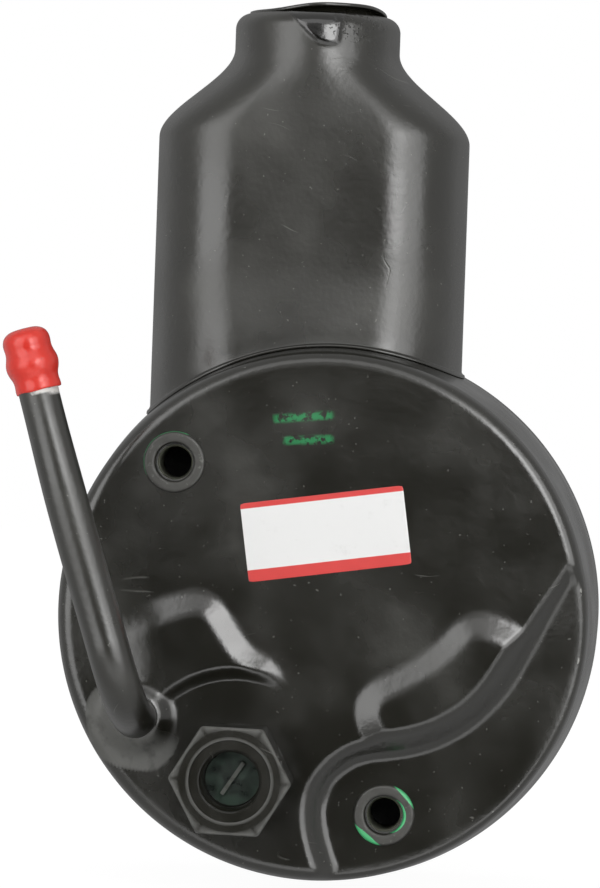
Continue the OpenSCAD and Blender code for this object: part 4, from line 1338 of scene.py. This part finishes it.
@dataclass
class OutletFitting:
    """Hexagon fitting with chamfered corners, spot face, threaded port and shank."""

    can: ReservoirCan
    af: float = 25.4
    turn: float = 1.0
    pad_w: float = 104.3
    face_w: float = 120.3
    end_w: float = 88.0
    shank_r: float = 11.0
    spot_r: float = 9.7
    spot: float = 0.5
    port_r: float = 7.25
    port_deep: float = 10.0
    pitch: float = 1.5
    thread: float = 0.45
    plug_r: float = 6.5
    plug_w: float = 101.1
    hole_r: float = 3.6
    columns: int = 288

    def hexagon(self, angle: np.ndarray) -> np.ndarray:
        """Give the hexagon's radius: half the flats over the high-power mean of the cosines to its three sides.

        Args:
            angle: Angles round the port's axis.

        Returns:
            The radius at each angle.
        """
        power = 84.0
        lean = np.radians(np.array([30.0, 90.0, 150.0]) + self.turn)
        sides = np.abs(np.cos(np.asarray(angle)[..., None] - lean)) ** power
        return 0.5 * self.af / sides.sum(-1) ** (1.0 / power)

    def surface(self) -> Surface:
        """Work out the fitting as one closed profile round the port's axis.

        On the outside the radius is the lower of the hexagon and the chamfer's cone. In the port a cosine of depth and
        angle makes a helical thread.

        Returns:
            The fitting's surface.
        """
        angle = circle(self.columns)
        flat = 0.0 * angle
        shank = np.array([(self.hole_r, self.end_w), (self.shank_r - 0.6, self.end_w), (self.shank_r, self.end_w + 0.6),
                          (self.shank_r, 98.9), (9.05, 99.0), (9.05, 101.4), (self.shank_r, 101.5),
                          (self.shank_r, self.pad_w)])
        side_w = np.concatenate([[self.pad_w, self.pad_w + 0.3],
                                 np.linspace(self.pad_w + 0.5, self.face_w - 2.4, 5),
                                 np.linspace(self.face_w - 2.2, self.face_w - 0.02, 24)])[:, None]
        corner = self.af / math.sqrt(3.0)
        cone = corner - 0.7 + (self.face_w - side_w)
        edge = self.hexagon(angle) - 0.3 * smoothstep((side_w - self.face_w + 0.3) / 0.3)
        side_r = soft_min(edge, cone + flat, 0.2)
        side_r[0] -= 0.3
        spot_w = self.face_w - self.spot
        top = np.array([(11.9, self.face_w), (11.4, self.face_w), (10.6, self.face_w + 0.01),
                        (self.spot_r + 0.12, self.face_w), (self.spot_r, self.face_w - 0.14), (self.spot_r, spot_w),
                        (self.spot_r - 0.2, spot_w), (self.port_r + 0.4, spot_w), (self.port_r + 0.05, spot_w - 0.35)])
        seat_w = spot_w - self.port_deep
        deep = np.linspace(spot_w - 1.0, seat_w + 0.4, 64)[:, None]
        ridge = thread_ridge(deep, angle, self.pitch)
        fade = smoothstep((spot_w - 0.9 - deep) / 0.8) * smoothstep((deep - seat_w - 0.3) / 0.8)
        bore_r = self.port_r - self.thread * ridge * fade
        foot = np.array([(self.port_r, seat_w), (self.plug_r + 0.2, seat_w), (self.plug_r, seat_w - 0.2),
                         (self.plug_r, self.plug_w), (self.hole_r, self.plug_w)])
        radius = np.concatenate([shank[:, :1] + flat, side_r, top[:, :1] + flat, bore_r, foot[:, :1] + flat])
        depth = np.concatenate([shank[:, 1:], side_w, top[:, 1:], deep, foot[:, 1:]])
        skin = Surface(Axis.rearwards(self.can.port).turn(radius, depth, -angle), ring_rows=True, sharp=30.0)
        rim = smoothstep((radius - self.hexagon(angle) + 0.75) / 0.6) * smoothstep((depth - self.face_w + 0.7) / 0.4)
        spot = smoothstep(1.0 - np.abs(radius - self.spot_r - 0.15) / 0.4) * (depth > self.face_w - 0.3)
        skin.marks = {"braze": np.maximum(rim, 0.8 * spot)}
        return skin

    def build(self, finishes: Finishes) -> None:
        """Make the fitting and let it stand for its CAD node."""
        piece = self.surface().build("hexagon_fitting", finishes.fittings)
        settle(piece, Body.PUMP, Slot.BLACK_PAINT, "outlet_fitting")


@dataclass
class StudSeals:
    """Two moulded seals round the stud holes, oversprayed with paint."""

    can: ReservoirCan
    bore_r: float = 4.6
    r: float = 7.4
    foot_r: float = 8.6
    proud: float = 0.7
    hole_r: float = 4.25
    sunk: float = 3.4
    thread_deep: float = 16.0
    thread_rows: int = 112
    thread_columns: int = 72
    pitch: float = 1.25
    columns: int = 96

    def surface(self, stud: Flat, sheet_w: float, bare: bool) -> Surface:
        """Work out one seal as a rounded profile turned round its stud's axis.

        Args:
            stud: Place of the stud in the rear view.
            sheet_w: Depth of the sheet's inner side there.
            bare: Whether slivers of rubber show through the paint, and not only a painted highlight line round the rim.

        Returns:
            The seal's surface with its mark for bare rubber and painted highlight.
        """
        top = sheet_w + self.can.sheet + self.proud
        line = round_off([
            (self.bore_r, sheet_w - 1.6), (self.foot_r, sheet_w - 1.6), (self.foot_r, sheet_w - 0.06),
            (self.r, sheet_w - 0.06), (self.r, top - 0.5), (self.r - 0.5, top), (6.0, top),
            (self.bore_r + 0.5, top), (self.bore_r, top - 0.4), (self.bore_r, sheet_w)], 2, True)
        angle = circle(self.columns)
        out = np.maximum(line[:, :1] * (1.0 + 0.006 * ripple(angle, 5)), self.bore_r)
        skin = Surface(Axis.rearwards(stud).turn(out, line[:, 1:], -angle), ring_rows=True)
        # the upper seal's mark is only a painted highlight line in the rubber's green
        skin.marks = {"bare": self.slivers(line, angle) if bare else self.outline(line, angle)}
        return skin

    def outline(self, line: np.ndarray, angle: np.ndarray) -> np.ndarray:
        """Mark a painted highlight: a thin line in the rubber's green round the upper left of the rim.

        Args:
            line: Radius and depth of the seal's profile.
            angle: Angles round the stud.

        Returns:
            The mark, 1 where rubber shows.
        """
        r, w = line[:, :1], line[:, 1:]
        # painted highlight: a thin line of the rubber's green round the upper left of the rim
        off = degrees_off(math.radians(135.0) - np.mod(-angle, TURN))
        return smoothstep((r - 7.18) / 0.12) * smoothstep((85.0 - off) / 25.0) * (w > line[:, 1].max() - 0.9)

    def slivers(self, line: np.ndarray, angle: np.ndarray) -> np.ndarray:
        """Mark the lens-shaped slivers at the upper right and lower left of the rim, and a crescent in the bore.

        Args:
            line: Radius and depth of the seal's profile.
            angle: Angles round the stud.

        Returns:
            The mark, 1 where rubber shows.
        """
        r, w = line[:, :1], line[:, 1:]
        turned = np.mod(-angle, TURN)
        total = np.zeros(np.broadcast(r, angle).shape)
        for middle, span, inner in ((43.0, 35.0, 6.3), (232.0, 38.0, 5.8)):
            off = degrees_off(turned - math.radians(middle))
            lens = np.clip(1.0 - (off / span) ** 2, 0.0, 1.0)
            total = np.maximum(total, smoothstep((r - 7.5 + (7.5 - inner) * lens) / 0.35) * (off < span))
        off = degrees_off(turned + 0.1)
        span = 66.0
        lens = np.clip(1.0 - (off / span) ** 2, 0.0, 1.0)
        crescent = smoothstep((4.65 + 0.75 * lens - r) / 0.2) * (off < span)
        return np.maximum(total, crescent) * (w > line[:, 1].min() + 1.0)

    def sleeve(self, stud: Flat, top: float) -> Surface:
        """Work out the thread in a stud hole: a thin sleeve whose inside is a cosine of depth and angle.

        Args:
            stud: Place of the stud in the rear view.
            top: Depth of the hole's mouth.

        Returns:
            The sleeve's closed surface.
        """
        angle = circle(self.thread_columns)
        deep = np.linspace(top, top - self.thread_deep, self.thread_rows)[:, None]
        ridge = thread_ridge(deep, angle, self.pitch)
        inner = self.hole_r - 0.06 - 0.45 * ridge * smoothstep(top - deep)
        outer = np.array([[top - self.thread_deep], [top]])
        radius = np.concatenate([inner, np.full((2, self.thread_columns), self.hole_r - 0.02)])
        return Surface(Axis.rearwards(stud).turn(radius, np.concatenate([deep, outer]), -angle), ring_rows=True)

    def build(self, finishes: Finishes) -> None:
        """Make both seals, which stand for their CAD node, and the threads in the stud holes.

        Args:
            finishes: Materials of the pump.
        """
        can = self.can
        places = (("upper", can.studs[0], can.rear_w), ("lower", can.studs[1], can.rear_w - can.step_drop))
        for name, stud, top in places:
            seal = self.surface(stud, top - can.sheet, top < can.rear_w).build(f"{name}_stud_seal", finishes.seals)
            settle(seal, Body.PUMP, Slot.GREEN_RUBBER, "stud_seals")
        for name, stud, top in places:
            sleeve = self.sleeve(stud, top - self.sunk).build(f"{name}_stud_thread", finishes.thread)
            settle(sleeve, Body.PUMP, Slot.BARE_STEEL)


@dataclass
class RearLabel:
    """Blank label on the flat middle of the rear face, tilted as it was stuck on."""

    can: ReservoirCan
    middle: Flat = (0.35, 19.7)
    wide: float = 39.2
    tall: float = 18.9
    tilt: float = 8.5
    thick: float = 0.09
    corner_power: float = 48.0
    columns: int = 240

    def surface(self) -> Surface:
        """Work out the label: rings of a rectangle with small round corners, with one edge slightly lifted.

        A ring's radius is a share of (|cos/a|^p + |sin/b|^p)^(-1/p), and the last ring goes down to the sheet.

        Returns:
            The label's surface with its flat place as UV.
        """
        angle = circle(self.columns)
        share = np.concatenate([np.linspace(0.0, 0.96, 20), [0.985, 0.997, 1.0, 1.0]])[:, None]
        p = self.corner_power
        across, upright = np.abs(np.cos(angle)) / (self.wide / 2), np.abs(np.sin(angle)) / (self.tall / 2)
        r = (across ** p + upright ** p) ** (-1 / p)
        u, v = share * r * np.cos(angle), share * r * np.sin(angle)
        lift = self.thick + 0.0 * share
        lift[-2] = 0.6 * self.thick
        lift[-1] = -0.02
        wave = 0.05 * smoothstep(share) * (0.5 + 0.5 * np.sin(3.0 * angle + 0.7)) * (lift > 0.05)
        t = math.radians(self.tilt)
        x = self.middle[0] + u * math.cos(t) - v * math.sin(t)
        z = self.middle[1] + u * math.sin(t) + v * math.cos(t)
        skin = Surface(rear(x, z, self.can.rear_w + lift + wave))
        skin.uv = np.stack([u / self.wide + 0.5, v / self.tall + 0.5], axis=-1)
        return skin

    def build(self, finishes: Finishes) -> None:
        """Make the label, which is a piece of its own."""
        piece = self.surface().build("blank_label", finishes.label, facing=(0.0, -1.0, 0.0))
        settle(piece, Body.PUMP, Slot.BLACK_PAINT)


@dataclass
class CoilSpring:
    """Round-wire coil spring along Y, with the wire's ends closed.

    Attributes:
        name: Name of the piece.
        node: CAD node that it stands for.
        body: Body that carries it.
        at: Place of its axis in the rear view.
        span: Depths of its front and rear ends.
        mean_r: Radius of the coil's centre line.
        wire_r: Radius of the wire.
        turns: Number of turns.
    """

    name: str
    node: str
    body: Body
    at: Flat
    span: Span
    mean_r: float
    wire_r: float
    turns: float

    def surface(self) -> Surface:
        """Work out the wire: a ring carried along a helix whose depth rises evenly.

        Returns:
            The wire's surface.
        """
        t = np.linspace(0.0, 1.0, int(self.turns * 40))
        a = TURN * self.turns * t
        w = self.span[0] + self.wire_r + (self.span[1] - self.span[0] - 2.0 * self.wire_r) * t
        path = rear(self.at[0] + self.mean_r * np.cos(a), self.at[1] + self.mean_r * np.sin(a), w)
        return Surface(sweep(path, np.full(len(t), self.wire_r), 14, (0.0, 1.0, 0.0)))

    def build(self, finishes: Finishes) -> bpy.types.Object:
        """Make the spring and let it stand for its CAD node."""
        piece = self.surface().build(self.name, finishes.steel)
        return settle(piece, self.body, Slot.BARE_STEEL, self.node)


@dataclass
class Springs:
    """The three coil springs: behind the pressure plate, under the flow valve and inside its relief."""

    port: Flat = (-19.6, -39.2)
    flow: Span = (30.1, 52.1)
    relief: Span = (64.12, 77.1)
    plate: Span = (59.0, 66.0)
    flow_end: float = 12.0
    relief_travel: float = 1.2

    def build(self, finishes: Finishes) -> None:
        """Make the springs, and give the two valve springs meshes of their own.

        Args:
            finishes: Materials of the pump.
        """
        plate = CoilSpring("plate_spring_coil", "plate_spring", Body.PUMP, (0.0, 0.0), self.plate, 13.0, 1.1, 1.75)
        plate.build(finishes)
        flow = CoilSpring("flow_spring_coil", "flow_valve_spring", Body.PUMP, self.port, self.flow, 7.2, 0.9, 6.0)
        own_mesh(flow.build(finishes))
        relief = CoilSpring("relief_spring_coil", "relief_spring", Body.VALVE, self.port, self.relief, 3.25, 0.45, 7.0)
        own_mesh(relief.build(finishes))


@dataclass
class CarriedNodes:
    """CAD nodes whose shape stays and which only get their finish."""

    casting: tuple[str, ...] = ("pump_housing",)
    steel: tuple[str, ...] = (
        "drive_shaft", "rotor_clip", "dowel_pins", "retaining_ring", "valve_spool", "relief_seat", "relief_ball",
        "ball_guide", "cam_ring")
    dark_steel: tuple[str, ...] = ("rotor", "thrust_plate", "pressure_plate", "end_plate", "magnet")
    bronze: tuple[str, ...] = ("shaft_bushing",)
    rubber: tuple[str, ...] = (
        "fitting_o_ring", "reservoir_o_ring", "shaft_seal", "pressure_plate_o_ring", "end_plate_o_ring")
    plug: tuple[str, ...] = ("port_plug",)
    vanes: int = 10

    def dress(self, nodes: dict[str, bpy.types.Object], finishes: Finishes) -> None:
        """Give each node its finish.

        Args:
            nodes: CAD nodes by name.
            finishes: Materials of the pump.
        """
        vanes = tuple(f"vane_{i + 1:02d}" for i in range(self.vanes))
        for names, material in ((self.casting, finishes.casting), (self.steel + vanes, finishes.steel),
                                (self.dark_steel, finishes.dark_steel), (self.bronze, finishes.bronze),
                                (self.rubber, finishes.rubber), (self.plug, finishes.plug)):
            for name in names:
                piece = nodes[name]
                if not piece.material_slots:
                    piece.data.materials.append(material)
                for slot in piece.material_slots:
                    slot.material = material
                LOG.info("%s: finish %s", name, material.name)


@dataclass
class Studio:
    """Pale floor, white surround, soft lamps and the camera.

    Attributes:
        floor_z: Height of the floor.
        distance: Way from the camera to its aim.
        aim: Point that the camera looks at.
        side: Turn of the camera to the right, in degrees.
        above: Turn of the camera upwards, in degrees.
        roll: Roll of the camera, in degrees.
        frame_tall: Height of the picture at the aim.
        ambient: Brightness of the surround to rays that light the part.
        floor_glow: Brightness of the floor to the camera.
        lit: Point that the lamps face, in metres.
        behind: Brightness of the surround in reflections beyond the drive end.
        card: Half width, depth, foot and top of the dark card, in metres.
        card_fade: Heights between which the card gets lighter, and its brightness there.
        boxes: Name, place, size, light and shine of each soft box or panel, in metres.
    """

    floor_z: float = -67.7
    distance: float = 1250.0
    aim: Point = (-6.75, -100.5, 40.93)
    side: float = 3.1
    above: float = 0.16
    roll: float = 2.0
    frame_tall: float = 212.76
    ambient: float = 0.35
    floor_glow: float = 1.13
    lit: Point = (-0.006, -0.09, 0.05)
    behind: float = 0.3
    card: tuple[float, float, float, float] = (0.85, -1.75, -0.7, 1.3)
    card_fade: tuple[float, float, float, float] = (0.1, 0.3, 0.0, 0.75)
    boxes: tuple[tuple[str, Point, Flat, float, float], ...] = (
        ("left_soft_box", (-0.63, -0.93, 0.2), (0.76, 1.0), 1.7, 5.0),
        ("right_soft_box", (0.63, -0.93, 0.2), (0.76, 1.0), 1.7, 5.0),
        ("top_soft_box", (0.0, -0.95, 0.76), (0.9, 0.55), 1.7, 2.6),
        ("low_panel", (0.12, -0.74, -0.42), (0.9, 0.32), 0.0, 2.7),
        ("bright_panel", (0.29, -0.83, 0.23), (0.28, 0.28), 0.0, 13.0))

    def camera(self) -> None:
        """Place the camera: it looks at the aim from slightly right of the shaft's axis and is rolled a little."""
        yaw, pitch, roll = (math.radians(a) for a in (self.side, self.above, self.roll))
        ahead = Vector((-math.sin(yaw) * math.cos(pitch), math.cos(yaw) * math.cos(pitch), -math.sin(pitch)))
        level = ahead.cross(Vector((0.0, 0.0, 1.0))).normalized()
        upward = level.cross(ahead)
        right = math.cos(roll) * level + math.sin(roll) * upward
        up = math.cos(roll) * upward - math.sin(roll) * level
        turn = Matrix((right, up, -ahead)).transposed().to_4x4()
        lens = bpy.data.cameras.new("rear_view")
        lens.sensor_fit = "VERTICAL"
        lens.angle_y = 2.0 * math.atan(0.5 * self.frame_tall / self.distance)
        lens.clip_start = 0.01
        eye = bpy.data.objects.new("rear_view", lens)
        eye.matrix_world = Matrix.Translation((Vector(self.aim) - ahead * self.distance) * MM) @ turn
        bpy.context.scene.collection.objects.link(eye)
        bpy.context.scene.camera = eye

    def soft_box(self, name: str, place: Point, size: Flat, light: float, shine: float) -> None:
        """Hang a soft box: a lamp for matt surfaces, and a bright front that only reflections see.

        Args:
            name: Name of the box.
            place: Its middle, in metres.
            size: Width and height in metres.
            light: Brightness of the lamp, or 0 for none.
            shine: Brightness of the front in reflections.
        """
        turn = (Vector(self.lit) - Vector(place)).to_track_quat("-Z", "Y")
        if light:
            lamp = bpy.data.lights.new(name, "AREA")
            lamp.shape = "RECTANGLE"
            lamp.size, lamp.size_y = size
            lamp.energy = light * math.pi * size[0] * size[1]
            box = bpy.data.objects.new(name, lamp)
            box.location = place
            box.rotation_euler = turn.to_euler()
            box.visible_glossy = False
            bpy.context.scene.collection.objects.link(box)
        board = Board(f"{name}_front")
        glow = board.node("ShaderNodeEmission", {"Strength": shine})
        board.tree.links.new(glow.outputs[0], board.tree.nodes["Material Output"].inputs["Surface"])
        ends = [(-0.5, -0.5), (0.5, -0.5), (0.5, 0.5), (-0.5, 0.5)]
        corners = [tuple(Vector(place) + turn @ Vector((a * size[0], b * size[1], 0.0))) for a, b in ends]
        self.hide(self.sheet(f"{name}_front", corners, board.material))

    @staticmethod
    def hide(sheet: bpy.types.Object) -> None:
        """Keep a sheet of the stage from all rays but reflections.

        Args:
            sheet: Sheet to hide.
        """
        sheet.visible_camera = False
        sheet.visible_diffuse = False
        sheet.visible_shadow = False

    def sheet(self, name: str, corners: list[Point], material: bpy.types.Material) -> bpy.types.Object:
        """Put up a flat sheet of the stage with corners in metres.

        Args:
            name: Name of the sheet.
            corners: Its four corners.
            material: Its material.

        Returns:
            The new object.
        """
        mesh = bpy.data.meshes.new(name)
        mesh.from_pydata(corners, [], [(0, 1, 2, 3)])
        mesh.materials.append(material)
        piece = bpy.data.objects.new(name, mesh)
        bpy.context.scene.collection.objects.link(piece)
        return piece

    @staticmethod
    def rays(tree: bpy.types.NodeTree, *kinds: str) -> bpy.types.NodeSocket:
        """Tell the named kinds of rays from the rest, as 1 or 0.

        Args:
            tree: Node tree that gets the nodes.
            *kinds: Names of the light path's outputs.

        Returns:
            The value's socket.
        """
        path = tree.nodes.new("ShaderNodeLightPath").outputs
        value = path[kinds[0]]
        for other in kinds[1:]:
            add = tree.nodes.new("ShaderNodeMath")
            add.operation = "MAXIMUM"
            tree.links.new(value, add.inputs[0])
            tree.links.new(path[other], add.inputs[1])
            value = add.outputs[0]
        return value

    def floor_material(self) -> bpy.types.Material:
        """Make the floor: white with a faint shadow to the camera, pale to the lamps' light.

        Returns:
            The floor's material.
        """
        board = Board("pale_floor")
        tree = board.tree
        board.finish(Base_Color=(0.8, 0.8, 0.8, 1.0), Roughness=0.9, Specular_IOR_Level=0.1)
        glow = board.node("ShaderNodeEmission", {"Strength": self.floor_glow})
        share = board.calc("MULTIPLY", self.rays(tree, "Is Camera Ray"), 0.85)
        mix = board.node("ShaderNodeMixShader", {0: share, 1: board.shader.outputs[0], 2: glow.outputs[0]})
        tree.links.new(mix.outputs[0], tree.nodes["Material Output"].inputs["Surface"])
        return board.material

    def world(self) -> None:
        """Surround the part with white for the rays that see it, dimmer beyond the drive end in reflections.

        All other rays meet a dim even light.
        """
        world = bpy.data.worlds.new("white_surround")
        world.use_nodes = True
        tree = world.node_tree
        back = tree.nodes["Background"]
        back.inputs["Color"].default_value = (1.0, 1.0, 1.0, 1.0)
        ahead = tree.nodes.new("ShaderNodeSeparateXYZ")
        tree.links.new(tree.nodes.new("ShaderNodeTexCoord").outputs["Generated"], ahead.inputs[0])
        value: bpy.types.NodeSocket | float = self.ambient
        shade = tree.nodes.new("ShaderNodeMapRange")
        for number, setting in enumerate((0.5, 0.95, 1.0, self.behind), 1):
            shade.inputs[number].default_value = setting
        tree.links.new(ahead.outputs[1], shade.inputs[0])
        for kinds, strength in ((("Is Glossy Ray",), shade.outputs[0]),
                                (("Is Camera Ray", "Is Transmission Ray"), 1.0)):
            spread = tree.nodes.new("ShaderNodeMapRange")
            tree.links.new(self.rays(tree, *kinds), spread.inputs[0])
            for number, setting in ((3, value), (4, strength)):
                if isinstance(setting, float):
                    spread.inputs[number].default_value = setting
                else:
                    tree.links.new(setting, spread.inputs[number])
            value = spread.outputs[0]
        tree.links.new(value, back.inputs["Strength"])
        bpy.context.scene.world = world

    def dark_card(self) -> None:
        """Hang a dark card behind the camera, which only reflections see, a little lighter towards its top."""
        board = Board("dark_card")
        height = board.node("ShaderNodeSeparateXYZ", {0: board.place}).outputs[2]
        glow = board.node("ShaderNodeEmission", {"Strength": board.range(height, *self.card_fade)})
        board.tree.links.new(glow.outputs[0], board.tree.nodes["Material Output"].inputs["Surface"])
        wide, y, low, high = self.card
        corners = [(-wide, y, low), (wide, y, low), (wide, y, high), (-wide, y, high)]
        self.hide(self.sheet("dark_card", corners, board.material))

    def build(self) -> None:
        """Set up the camera, the surround, the floor, the dark card and the lamps."""
        self.camera()
        self.world()
        z = self.floor_z * MM
        corners = [(-4.0, -4.0, z), (4.0, -4.0, z), (4.0, 4.0, z), (-4.0, 4.0, z)]
        self.sheet("floor", corners, self.floor_material()).visible_glossy = False
        self.dark_card()
        for box in self.boxes:
            self.soft_box(*box)
        bpy.context.scene.view_settings.view_transform = "Standard"


def main() -> None:
    """Load the frame, build each sub-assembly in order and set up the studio."""
    logging.basicConfig(level=logging.INFO, format="%(name)s %(message)s")
    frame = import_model()
    finishes = Finishes.make()
    can = ReservoirCan()
    neck = FillerNeck(can)
    for part in (can, neck, FillerCollar(neck), ReturnTube(can), OutletFitting(can), StudSeals(can), RearLabel(can),
                 Springs()):
        part.build(finishes)
    CarriedNodes().dress(frame["nodes"], finishes)
    Studio().build()


if __name__ == "__main__":
    main()
